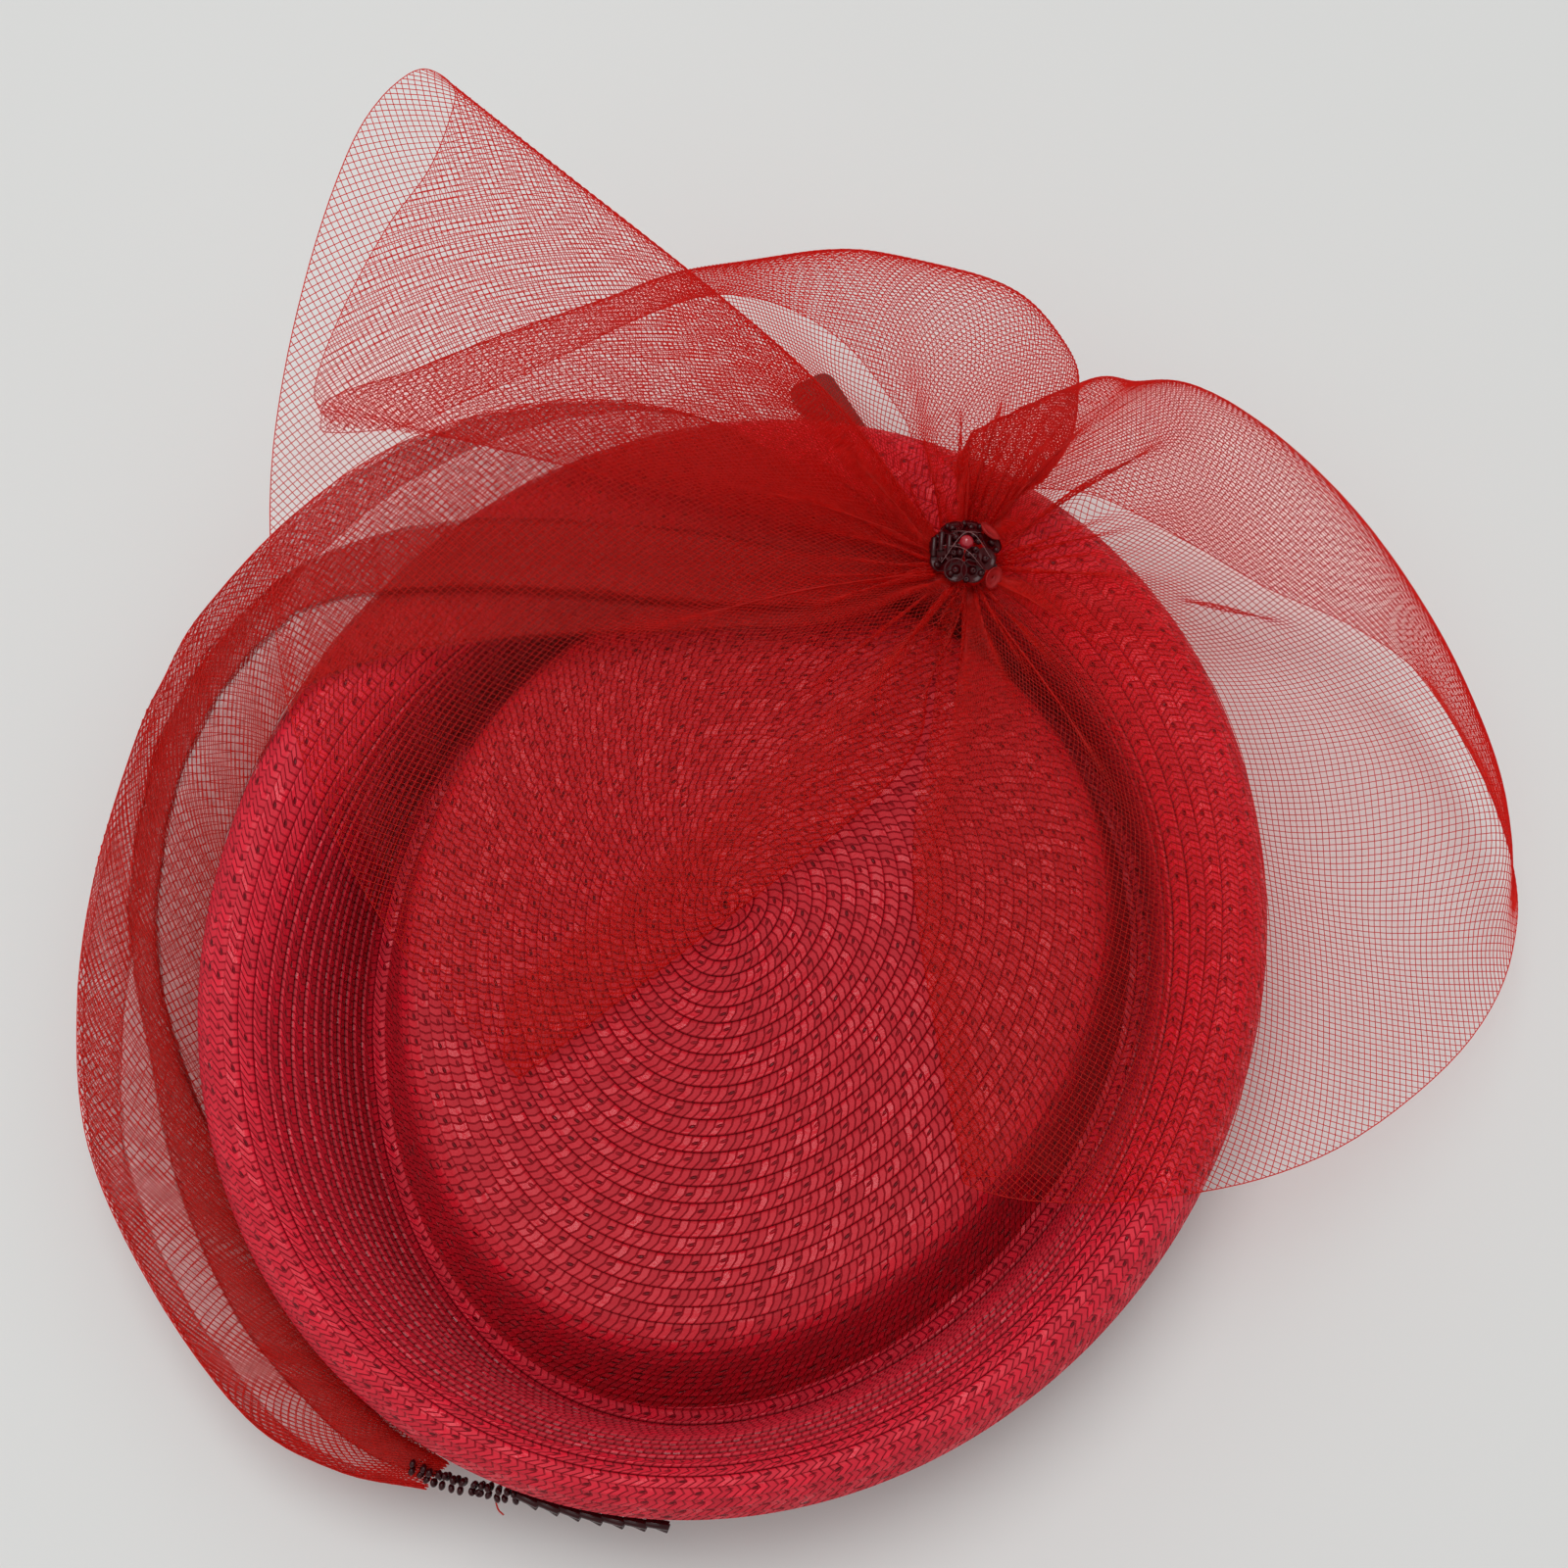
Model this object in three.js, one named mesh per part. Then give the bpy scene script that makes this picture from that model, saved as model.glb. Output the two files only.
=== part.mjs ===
// Fascinator: an oval percher hat of sewn straw braid with a rolled brim, a six-inch crinoline
// net ribbon gathered to one knot, a beaded flower on the knot and a bead trim on the brim.
// Millimetres, +Z up. The hat rests on the flat floor of the valley between crown and brim.
import * as THREE from "three";

// ---- driving dimensions ------------------------------------------------------------------
const STRAW_WALL = 2.0; // sewn straw braid
const NET_WALL = 1.0; // crinoline net
const GAP = 0.3; // between pieces that touch
const HAT_TURN = 67; // degrees from +X to the long axis of the brim oval

const CROWN_SIDES = 48;
const BRIM_SIDES = 60;

// Crown oval at the shoulder, with the egg factor that makes it blunter at the back.
const CROWN = { long: 89.5, across: 76.2, turn: 70, egg: 0.1, x: 1.4, y: -6.3 };
const CROWN_TIP = { x: -3.2, y: -0.8 };

// Crown profile from the tip outwards: share of the shoulder oval, and height.
const CROWN_TIP_ROWS = [
  { share: 0.03, z: 37.2 },
  { share: 0.32, z: 37.0 },
  { share: 0.58, z: 36.2 },
  { share: 0.78, z: 34.8 },
  { share: 0.9, z: 32.2 },
  { share: 0.97, z: 28.8 },
];
// Crown wall below the shoulder: how far the oval grows, and height.
const CROWN_WALL_ROWS = [
  { grow: 0, z: 24 },
  { grow: 3, z: 14 },
  { grow: 6.5, z: 5 },
  { grow: 8, z: 1.6 },
  { grow: 8, z: 0 },
];
const FOOT_GROW = 8;

// Brim from the valley floor up its inner wall, over the roll and down to the hem.
const FLOOR_WIDTH = 4;
const floorRing = (name, grow) => ({
  ...CROWN,
  name,
  long: CROWN.long + FOOT_GROW + grow,
  across: CROWN.across + FOOT_GROW + grow,
  z: STRAW_WALL,
});
const BRIM_ROWS = [
  floorRing("floor_in", GAP + 0.1),
  floorRing("floor_out", FLOOR_WIDTH),
  { name: "wall_low", x: 0.6, y: -7.2, long: 102.3, across: 89.6, turn: 69, egg: 0.08, z: 10 },
  { name: "wall_high", x: -1.2, y: -9, long: 103.4, across: 91, turn: 68, egg: 0.04, z: 27 },
  { name: "lip", x: -2.5, y: -10, long: 105, across: 92.8, turn: HAT_TURN, egg: 0, z: 36.5 },
  { name: "roll_in", x: -2, y: -8, long: 109, across: 97, turn: HAT_TURN, egg: 0, z: 40.8 },
  { name: "roll_top", x: -1.5, y: -4, long: 117, across: 104, turn: HAT_TURN, egg: 0, z: 42.5 },
  { name: "roll_out", x: -0.8, y: -1.4, long: 123, across: 109.6, turn: HAT_TURN, egg: 0, z: 39.5 },
  { name: "widest", x: -0.5, y: 0, long: 126.4, across: 113.1, turn: HAT_TURN, egg: 0, z: 32.5 },
  { name: "under", x: -0.5, y: 0, long: 125.8, across: 112.6, turn: HAT_TURN, egg: 0, z: 27 },
  { name: "hem", x: -0.5, y: 0, long: 123.8, across: 110.8, turn: HAT_TURN, egg: 0, z: 22.5 },
];
const [UNDER, HEM] = BRIM_ROWS.slice(-2);

// The knot that gathers the net, on the roll at the back right.
const KNOT = { x: 50, y: 77, bottom: 42.2, top: 52.6, radius: 7.7, waist: 5.2 };
const ROOT_REACH = 8.35; // where the net leaves the knot

// Net fans in polar terms around the knot: each row is one spoke of the ribbon. It leaves the
// knot at root degrees, lifts by bulge above a straight line, passes its crest and ends at the
// outer selvedge. crestAt and edgeAt are in degrees; crest and edge are how far out they are.
const FAN_LEFT = {
  rootZ: 51.6,
  rows: [
    { root: 246, bulge: 0, crestAt: 226, crest: 76, crestZ: 43.2, edgeAt: 224.5, edge: 138, edgeZ: 40.0 },
    { root: 256, bulge: 0, crestAt: 237, crest: 68, crestZ: 43.2, edgeAt: 228.5, edge: 149, edgeZ: 39.6 },
    { root: 266, bulge: 0, crestAt: 248, crest: 59, crestZ: 43.6, edgeAt: 231.2, edge: 151, edgeZ: 39.9 },
    { root: 268, bulge: 0, crestAt: 249.5, crest: 59, crestZ: 45.0, edgeAt: 232, edge: 152, edgeZ: 41.3 },
    { root: 266, bulge: 1, crestAt: 248, crest: 59, crestZ: 46.4, edgeAt: 231, edge: 151, edgeZ: 42.8 },
    { root: 250, bulge: 2, crestAt: 231, crest: 68, crestZ: 50, edgeAt: 222, edge: 151, edgeZ: 48 },
    { root: 233, bulge: 3, crestAt: 214, crest: 74, crestZ: 54, edgeAt: 210, edge: 151, edgeZ: 56 },
    { root: 217, bulge: 3, crestAt: 200, crest: 75, crestZ: 58, edgeAt: 198, edge: 151, edgeZ: 64 },
    { root: 202, bulge: 4, crestAt: 187, crest: 75, crestZ: 64, edgeAt: 186, edge: 150, edgeZ: 72 },
    { root: 188, bulge: 5, crestAt: 175, crest: 75, crestZ: 71, edgeAt: 175.5, edge: 150, edgeZ: 80 },
    { root: 177, bulge: 6, crestAt: 167, crest: 75, crestZ: 77, edgeAt: 168, edge: 148, edgeZ: 92 },
    { root: 168, bulge: 7, crestAt: 159, crest: 75, crestZ: 83, edgeAt: 163, edge: 146, edgeZ: 102 },
    { root: 161, bulge: 8, crestAt: 153, crest: 74, crestZ: 87, edgeAt: 157.5, edge: 145, edgeZ: 110 },
    { root: 156, bulge: 9, crestAt: 148.5, crest: 73, crestZ: 90, edgeAt: 152, edge: 146, edgeZ: 113 },
    { root: 152, bulge: 9.5, crestAt: 145.5, crest: 72, crestZ: 92, edgeAt: 147, edge: 147, edgeZ: 112 },
    { root: 149, bulge: 10, crestAt: 143, crest: 71, crestZ: 92.5, edgeAt: 143.5, edge: 146.5, edgeZ: 109 },
  ],
};
const FAN_LEFT_UNDER = {
  rootZ: 49.1,
  rows: [
    { root: 149, bulge: 9, crestAt: 142.5, crest: 70, crestZ: 88, edgeAt: 142, edge: 143, edgeZ: 102.5 },
    { root: 151, bulge: 7, crestAt: 143.5, crest: 72, crestZ: 82, edgeAt: 142.8, edge: 144, edgeZ: 94 },
    { root: 153, bulge: 6, crestAt: 146, crest: 74, crestZ: 76, edgeAt: 146, edge: 146, edgeZ: 83 },
    { root: 157, bulge: 5, crestAt: 151, crest: 76, crestZ: 70, edgeAt: 150.5, edge: 151, edgeZ: 73 },
    { root: 162, bulge: 4, crestAt: 157, crest: 78, crestZ: 64.5, edgeAt: 157.5, edge: 155, edgeZ: 63 },
    { root: 167, bulge: 3, crestAt: 162, crest: 78, crestZ: 60.5, edgeAt: 163.5, edge: 156, edgeZ: 56.5 },
    { root: 170, bulge: 2, crestAt: 165, crest: 79, crestZ: 58.5, edgeAt: 165.5, edge: 153, edgeZ: 54.5 },
  ],
};
const LOOP_BACK = {
  rootZ: 46.6,
  rows: [
    { root: 168, bulge: 1, crestAt: 165, crest: 146, crestZ: 52, edgeAt: 167, edge: 150, edgeZ: 50 },
    { root: 162, bulge: 2, crestAt: 158, crest: 130, crestZ: 55, edgeAt: 164, edge: 133, edgeZ: 49 },
    { root: 156, bulge: 4, crestAt: 150, crest: 113, crestZ: 59, edgeAt: 157, edge: 119, edgeZ: 49 },
    { root: 149, bulge: 6, crestAt: 142, crest: 99, crestZ: 64, edgeAt: 148, edge: 109, edgeZ: 47 },
    { root: 141, bulge: 8, crestAt: 134, crest: 89, crestZ: 69, edgeAt: 137, edge: 106, edgeZ: 40 },
    { root: 132, bulge: 10, crestAt: 125, crest: 78, crestZ: 73, edgeAt: 124, edge: 103, edgeZ: 33 },
    { root: 120, bulge: 12, crestAt: 110, crest: 70, crestZ: 75, edgeAt: 115, edge: 94, edgeZ: 28 },
    { root: 106, bulge: 12, crestAt: 95, crest: 64, crestZ: 73, edgeAt: 108, edge: 80, edgeZ: 25 },
    { root: 92, bulge: 11, crestAt: 78, crest: 60, crestZ: 69, edgeAt: 104, edge: 65, edgeZ: 25 },
    { root: 80, bulge: 9, crestAt: 66, crest: 55, crestZ: 65, edgeAt: 102, edge: 52, edgeZ: 33 },
    { root: 70, bulge: 6, crestAt: 59, crest: 46, crestZ: 62, edgeAt: 96, edge: 40, edgeZ: 45 },
    { root: 63, bulge: 3, crestAt: 55, crest: 34, crestZ: 58, edgeAt: 82, edge: 30, edgeZ: 47 },
  ],
};
const FAN_RIGHT = {
  rootZ: 49.2,
  rows: [
    { root: 46, bulge: 6, crestAt: 46, crest: 44, crestZ: 62, edgeAt: 26, edge: 42, edgeZ: 48 },
    { root: 40, bulge: 8, crestAt: 42, crest: 55, crestZ: 65, edgeAt: 11, edge: 57, edgeZ: 37 },
    { root: 31, bulge: 9, crestAt: 35, crest: 63, crestZ: 65, edgeAt: 5, edge: 75, edgeZ: 25 },
    { root: 20, bulge: 9, crestAt: 24, crest: 73, crestZ: 61, edgeAt: 0, edge: 95, edgeZ: 19 },
    { root: 8, bulge: 8, crestAt: 12, crest: 83.5, crestZ: 56, edgeAt: -5, edge: 110, edgeZ: 16 },
    { root: -4, bulge: 7, crestAt: 0, crest: 95, crestZ: 51, edgeAt: -12, edge: 121, edgeZ: 15 },
    { root: -16, bulge: 6, crestAt: -11, crest: 108, crestZ: 45, edgeAt: -20, edge: 133, edgeZ: 15 },
    { root: -26, bulge: 5, crestAt: -20, crest: 120, crestZ: 39, edgeAt: -28, edge: 143, edgeZ: 17 },
    { root: -34, bulge: 5, crestAt: -28, crest: 124.5, crestZ: 38, edgeAt: -34, edge: 147, edgeZ: 21 },
    { root: -42, bulge: 4, crestAt: -37, crest: 111, crestZ: 43.5, edgeAt: -39, edge: 149, edgeZ: 25 },
    { root: -50, bulge: 3, crestAt: -46, crest: 97, crestZ: 46, edgeAt: -45, edge: 150, edgeZ: 29 },
    { root: -58, bulge: 2, crestAt: -55, crest: 88, crestZ: 47, edgeAt: -53, edge: 150, edgeZ: 34 },
    { root: -66, bulge: 1, crestAt: -64, crest: 80, crestZ: 48, edgeAt: -61, edge: 150, edgeZ: 39 },
    { root: -73, bulge: 1, crestAt: -73, crest: 76, crestZ: 48.5, edgeAt: -68, edge: 149, edgeZ: 43 },
    { root: -78, bulge: 1, crestAt: -82, crest: 76, crestZ: 49, edgeAt: -75, edge: 147, edgeZ: 45 },
    { root: -82, bulge: 0, crestAt: -90, crest: 76, crestZ: 48, edgeAt: -82, edge: 145, edgeZ: 46 },
    { root: -85, bulge: 0, crestAt: -95, crest: 78, crestZ: 47.5, edgeAt: -87.5, edge: 143, edgeZ: 45.6 },
    { root: -88, bulge: 0, crestAt: -98.5, crest: 80, crestZ: 47, edgeAt: -91.5, edge: 140, edgeZ: 45 },
  ],
};

// The pleated sweep of net: each row is one section across it, from its inner line over the
// brim to its outer line outside it, crowned by bulge, then turned back and tucked down outside.
const SWEEP_ROWS = [
  { inX: 41.9, inY: 72.2, inZ: 44.6, outX: 41.3, outY: 81.5, outZ: 44.6, bulge: 0, back: -1.5, tuck: 0 },
  { inX: 20, inY: 64, inZ: 43.6, outX: 16, outY: 102, outZ: 43.8, bulge: 0.5, back: -2, tuck: 0.2 },
  { inX: -8, inY: 62, inZ: 43.6, outX: -12, outY: 120, outZ: 43.4, bulge: 1.5, back: -1.5, tuck: 2 },
  { inX: -40, inY: 60, inZ: 44, outX: -46, outY: 126, outZ: 40.4, bulge: 2.5, back: 2, tuck: 7 },
  { inX: -72, inY: 56, inZ: 45.5, outX: -81, outY: 117, outZ: 37, bulge: 3, back: 6, tuck: 9 },
  { inX: -96, inY: 47.5, inZ: 45, outX: -107, outY: 99, outZ: 33, bulge: 4, back: 9, tuck: 11 },
  { inX: -109.4, inY: 33.4, inZ: 38.6, outX: -127, outY: 74, outZ: 30, bulge: 5, back: 9, tuck: 11 },
  { inX: -115.6, inY: 11, inZ: 26, outX: -139, outY: 42, outZ: 28, bulge: 7, back: 9.5, tuck: 11 },
  { inX: -109.5, inY: -17, inZ: 18.5, outX: -144.5, outY: 10, outZ: 26, bulge: 8, back: 9.5, tuck: 11 },
  { inX: -104, inY: -43, inZ: 17, outX: -144.5, outY: -20, outZ: 25, bulge: 8, back: 9, tuck: 11 },
  { inX: -92, inY: -70, inZ: 17, outX: -138, outY: -51, outZ: 24, bulge: 7, back: 7, tuck: 10 },
  { inX: -79, inY: -91.5, inZ: 18, outX: -120.5, outY: -81, outZ: 23, bulge: 5, back: 6, tuck: 8 },
  { inX: -71, inY: -103, inZ: 19.5, outX: -99, outY: -105.5, outZ: 22.5, bulge: 3, back: 5, tuck: 5 },
  { inX: -67.5, inY: -108.5, inZ: 20.3, outX: -82, outY: -116.5, outZ: 22, bulge: 2, back: 3, tuck: 3 },
  { inX: -64, inY: -112.5, inZ: 21, outX: -70, outY: -118.5, outZ: 22, bulge: 1, back: 1, tuck: 1 },
];

// Bead flower on the knot.
const FLOWER = { petals: 8, radius: 7.2, scallop: 1.0, height: 4.0, sides: 64 };
const PEARL_RADIUS = 1.9;

// Bead trim along the front left of the brim, as angles around the outline oval.
const TRIM = {
  from: 173.5, to: 199, depth: 5.0, taper: 2.4, bottom: 21.5, top: 27.0, clear: GAP + 0.1, steps: 14,
};

// Flat bar of a hair comb behind the back of the brim.
const COMB = { length: 44, width: 12, thick: 1.8, corner: 3, x: 26, y: 125.4, z: 20.4, turn: 119 };

// ---- helpers -------------------------------------------------------------------------------
const radians = THREE.MathUtils.degToRad;

function ovalPoint(oval, angle, z) {
  const along = oval.long * Math.cos(angle);
  const side = oval.across * Math.sin(angle) * (1 + oval.egg * Math.cos(angle));
  const turn = radians(oval.turn);
  return new THREE.Vector3(
    oval.x + along * Math.cos(turn) - side * Math.sin(turn),
    oval.y + along * Math.sin(turn) + side * Math.cos(turn),
    z,
  );
}

function grown(oval, by) {
  return { ...oval, long: oval.long + by, across: oval.across + by };
}

// Uniform Catmull-Rom through a list of numbers, with straight ends; at runs from 0 to 1.
function spline(values, at) {
  const last = values.length - 1;
  const place = Math.min(Math.max(at, 0), 1) * last;
  const k = Math.min(Math.floor(place), last - 1);
  const f = place - k;
  const b = values[k];
  const c = values[k + 1];
  const a = k > 0 ? values[k - 1] : 2 * b - c;
  const d = k + 2 <= last ? values[k + 2] : 2 * c - b;
  return b + 0.5 * f * (c - a + f * (2 * a - 5 * b + 4 * c - d + f * (3 * (b - c) + d - a)));
}

// The row at a share of the way through a table, each column splined.
function rowAt(rows, at) {
  const row = {};
  for (const key of Object.keys(rows[0])) row[key] = spline(rows.map((r) => r[key]), at);
  return row;
}

function polar(turn, reach, z) {
  const t = radians(turn);
  return new THREE.Vector3(KNOT.x + reach * Math.cos(t), KNOT.y + reach * Math.sin(t), z);
}

function splinePoint(points, at) {
  return new THREE.Vector3(
    spline(points.map((p) => p.x), at),
    spline(points.map((p) => p.y), at),
    spline(points.map((p) => p.z), at),
  );
}

// A spoke of a fan: root, rise, crest and edge.
function spokePoint(row, rootZ, at) {
  const rise = 0.45;
  const root = polar(row.root, ROOT_REACH, rootZ);
  const crest = polar(row.crestAt, row.crest, row.crestZ);
  const middle = root.clone().lerp(crest, rise);
  middle.z += row.bulge;
  const edge = polar(row.edgeAt, row.edge, row.edgeZ);
  return splinePoint([root, middle, crest, edge], at);
}

function fanGrid(fan, across, along) {
  const grid = [];
  for (let i = 0; i <= across; i += 1) {
    const row = rowAt(fan.rows, i / across);
    const line = [];
    for (let j = 0; j <= along; j += 1) line.push(spokePoint(row, fan.rootZ, j / along));
    grid.push(line);
  }
  return grid;
}

// A section of the sweep: crowned from its inner to its outer line, then tucked under.
function sweepPoint(row, at) {
  const turnUnder = 0.82;
  const inner = new THREE.Vector3(row.inX, row.inY, row.inZ);
  const outer = new THREE.Vector3(row.outX, row.outY, row.outZ);
  const back = outer.clone().lerp(inner, row.back / outer.distanceTo(inner));
  back.z = row.outZ - row.tuck;
  const crown = inner.clone().lerp(outer, 0.5);
  crown.z += row.bulge;
  const shoulder = inner.clone().lerp(outer, 0.86);
  shoulder.z += 0.5 * row.bulge;
  const under = outer.clone().lerp(back, 0.3);
  under.z = row.outZ - 0.6 * row.tuck;
  const upper = [inner, crown, shoulder, outer];
  if (at <= turnUnder) return splinePoint(upper, at / turnUnder);
  return splinePoint([outer, under, back], (at - turnUnder) / (1 - turnUnder));
}

function sweepGrid(stations, across) {
  const grid = [];
  for (let i = 0; i <= stations; i += 1) {
    const row = rowAt(SWEEP_ROWS, i / stations);
    const line = [];
    for (let j = 0; j <= across; j += 1) line.push(sweepPoint(row, j / across));
    grid.push(line);
  }
  return grid;
}

function geometryOf(vertices, faces) {
  const geometry = new THREE.BufferGeometry();
  const flat = vertices.flatMap((v) => [v.x, v.y, v.z]);
  geometry.setAttribute("position", new THREE.Float32BufferAttribute(flat, 3));
  geometry.setIndex(faces.flat());
  geometry.computeVertexNormals();
  return geometry;
}

// An open sheet given as a grid of points, thickened by wall to a closed body.
function sheetGeometry(grid, wall) {
  const rows = grid.length;
  const columns = grid[0].length;
  const vertices = [];
  const normals = [];
  for (let i = 0; i < rows; i += 1) {
    for (let j = 0; j < columns; j += 1) {
      const before = grid[Math.max(i - 1, 0)][j];
      const after = grid[Math.min(i + 1, rows - 1)][j];
      const left = grid[i][Math.max(j - 1, 0)];
      const right = grid[i][Math.min(j + 1, columns - 1)];
      const acrossStep = after.clone().sub(before);
      const alongStep = right.clone().sub(left);
      normals.push(acrossStep.cross(alongStep).normalize());
    }
  }
  for (const side of [0.5, -0.5]) {
    for (let i = 0; i < rows; i += 1) {
      for (let j = 0; j < columns; j += 1) {
        vertices.push(grid[i][j].clone().addScaledVector(normals[i * columns + j], side * wall));
      }
    }
  }
  const under = rows * columns;
  const at = (i, j) => i * columns + j;
  const faces = [];
  const quad = (a, b, c, d) => faces.push([a, b, c], [a, c, d]);
  for (let i = 0; i < rows - 1; i += 1) {
    for (let j = 0; j < columns - 1; j += 1) {
      quad(at(i, j), at(i + 1, j), at(i + 1, j + 1), at(i, j + 1));
      quad(under + at(i, j), under + at(i, j + 1), under + at(i + 1, j + 1), under + at(i + 1, j));
    }
  }
  const last = { i: rows - 1, j: columns - 1 };
  for (let i = 0; i < last.i; i += 1) {
    quad(at(i, 0), under + at(i, 0), under + at(i + 1, 0), at(i + 1, 0));
    quad(at(i, last.j), at(i + 1, last.j), under + at(i + 1, last.j), under + at(i, last.j));
  }
  for (let j = 0; j < last.j; j += 1) {
    quad(at(0, j), at(0, j + 1), under + at(0, j + 1), under + at(0, j));
    quad(at(last.i, j), under + at(last.i, j), under + at(last.i, j + 1), at(last.i, j + 1));
  }
  return geometryOf(vertices, faces);
}

// The same profile moved to its under side by wall, mitred at its corners.
function offsetRings(rings, wall) {
  const mean = (r) => (r.long + r.across) / 2;
  return rings.map((ring, k) => {
    const steps = [];
    for (const [a, b] of [[rings[k - 1], ring], [ring, rings[k + 1]]]) {
      if (a && b) steps.push(new THREE.Vector2(mean(b) - mean(a), b.z - a.z).normalize());
    }
    const normals = steps.map((s) => new THREE.Vector2(s.y, -s.x));
    const sum = normals.reduce((total, n) => total.add(n), new THREE.Vector2());
    const bisector = sum.normalize();
    const stretch = wall / bisector.dot(new THREE.Vector2(steps[0].y, -steps[0].x));
    const grow = bisector.x * stretch;
    const rise = bisector.y * stretch;
    return { ...ring, long: ring.long + grow, across: ring.across + grow, z: ring.z + rise };
  });
}

// A closed body of revolution-like rings: out over the top rings, back over the under rings.
function ringGeometry(topRings, underRings, sides, capped) {
  const loop = [...topRings, ...[...underRings].reverse()];
  const vertices = [];
  for (const ring of loop) {
    for (let s = 0; s < sides; s += 1) {
      vertices.push(ovalPoint(ring, (2 * Math.PI * s) / sides, ring.z));
    }
  }
  const faces = [];
  const spans = capped ? loop.length - 1 : loop.length;
  for (let k = 0; k < spans; k += 1) {
    const next = (k + 1) % loop.length;
    for (let s = 0; s < sides; s += 1) {
      const t = (s + 1) % sides;
      const [a, b, c, d] = [k * sides + s, next * sides + s, next * sides + t, k * sides + t];
      faces.push([a, b, c], [a, c, d]);
    }
  }
  if (capped) {
    for (const [k, up] of [[0, true], [loop.length - 1, false]]) {
      const ring = loop[k];
      const hub = vertices.push(new THREE.Vector3(ring.x, ring.y, ring.z)) - 1;
      for (let s = 0; s < sides; s += 1) {
        const a = k * sides + s;
        const b = k * sides + ((s + 1) % sides);
        faces.push(up ? [hub, a, b] : [hub, b, a]);
      }
    }
  }
  return geometryOf(vertices, faces);
}

function material(color, roughness) {
  return new THREE.MeshStandardMaterial({ color, roughness, metalness: 0 });
}
const straw = material(0xb01c30, 0.5);
const net = material(0xc8352c, 0.45);
const darkBead = material(0x4a0a10, 0.15);
const redPearl = material(0xb01020, 0.2);
const combPlastic = material(0x4b241a, 0.4);

const hat = new THREE.Group();
function add(name, geometry, look) {
  const mesh = new THREE.Mesh(geometry, look);
  mesh.name = name;
  hat.add(mesh);
  return mesh;
}

// ---- straw hat -----------------------------------------------------------------------------
function crownGeometry() {
  const base = { turn: CROWN.turn, egg: CROWN.egg };
  const tipRows = CROWN_TIP_ROWS.map((row) => ({
    ...base,
    x: THREE.MathUtils.lerp(CROWN_TIP.x, CROWN.x, row.share),
    y: THREE.MathUtils.lerp(CROWN_TIP.y, CROWN.y, row.share),
    long: CROWN.long * row.share,
    across: CROWN.across * row.share,
    z: row.z,
  }));
  const wallRows = CROWN_WALL_ROWS.map((row) => ({
    ...base,
    x: CROWN.x,
    y: CROWN.y,
    long: CROWN.long + row.grow,
    across: CROWN.across + row.grow,
    z: row.z,
  }));
  const top = [...tipRows, ...wallRows];
  return ringGeometry(top, offsetRings(top, STRAW_WALL), CROWN_SIDES, true);
}

function brimGeometry() {
  return ringGeometry(BRIM_ROWS, offsetRings(BRIM_ROWS, STRAW_WALL), BRIM_SIDES, false);
}

// ---- trims ---------------------------------------------------------------------------------
function knotGeometry() {
  const middle = (KNOT.bottom + KNOT.top) / 2;
  const profile = [
    new THREE.Vector2(0, KNOT.bottom),
    new THREE.Vector2(KNOT.waist, KNOT.bottom),
    new THREE.Vector2(KNOT.radius, KNOT.bottom + 2),
    new THREE.Vector2(KNOT.radius, middle),
    new THREE.Vector2(KNOT.radius, KNOT.top - 1),
    new THREE.Vector2(KNOT.waist, KNOT.top),
    new THREE.Vector2(0, KNOT.top),
  ];
  return new THREE.LatheGeometry(profile, 20).rotateX(Math.PI / 2);
}

function flowerGeometry() {
  const outline = new THREE.Shape();
  for (let s = 0; s < FLOWER.sides; s += 1) {
    const angle = (2 * Math.PI * s) / FLOWER.sides;
    const reach = FLOWER.radius + FLOWER.scallop * Math.cos(FLOWER.petals * angle);
    const step = s === 0 ? "moveTo" : "lineTo";
    outline[step](reach * Math.cos(angle), reach * Math.sin(angle));
  }
  return new THREE.ExtrudeGeometry(outline, { depth: FLOWER.height, bevelEnabled: false });
}

function trimGeometry() {
  const sections = [];
  for (let s = 0; s <= TRIM.steps; s += 1) {
    const share = s / TRIM.steps;
    const angle = radians(THREE.MathUtils.lerp(TRIM.from, TRIM.to, share));
    const depth = TRIM.depth - TRIM.taper * share;
    const low = grown(HEM, TRIM.clear);
    const high = grown(UNDER, TRIM.clear);
    const far = grown(UNDER, TRIM.clear + depth);
    sections.push([
      ovalPoint(low, angle, TRIM.bottom),
      ovalPoint(far, angle, TRIM.bottom + 0.8),
      ovalPoint(far, angle, TRIM.top - 1.4),
      ovalPoint(high, angle, TRIM.top),
    ]);
  }
  const vertices = sections.flat();
  const faces = [];
  for (let s = 0; s < TRIM.steps; s += 1) {
    for (let k = 0; k < 4; k += 1) {
      const [a, b] = [s * 4 + k, s * 4 + ((k + 1) % 4)];
      faces.push([a, a + 4, b + 4], [a, b + 4, b]);
    }
  }
  const end = TRIM.steps * 4;
  faces.push([0, 1, 2], [0, 2, 3], [end, end + 2, end + 1], [end, end + 3, end + 2]);
  return geometryOf(vertices, faces);
}

function combGeometry() {
  const { length, width, corner, thick } = COMB;
  const bar = new THREE.Shape();
  bar.moveTo(-length / 2, -width / 2);
  bar.lineTo(length / 2 - corner, -width / 2);
  bar.absarc(length / 2 - corner, -width / 2 + corner, corner, -Math.PI / 2, 0, false);
  bar.absarc(length / 2 - corner, width / 2 - corner, corner, 0, Math.PI / 2, false);
  bar.lineTo(-length / 2, width / 2);
  bar.closePath();
  return new THREE.ExtrudeGeometry(bar, { depth: thick, bevelEnabled: false, curveSegments: 5 });
}

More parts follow.
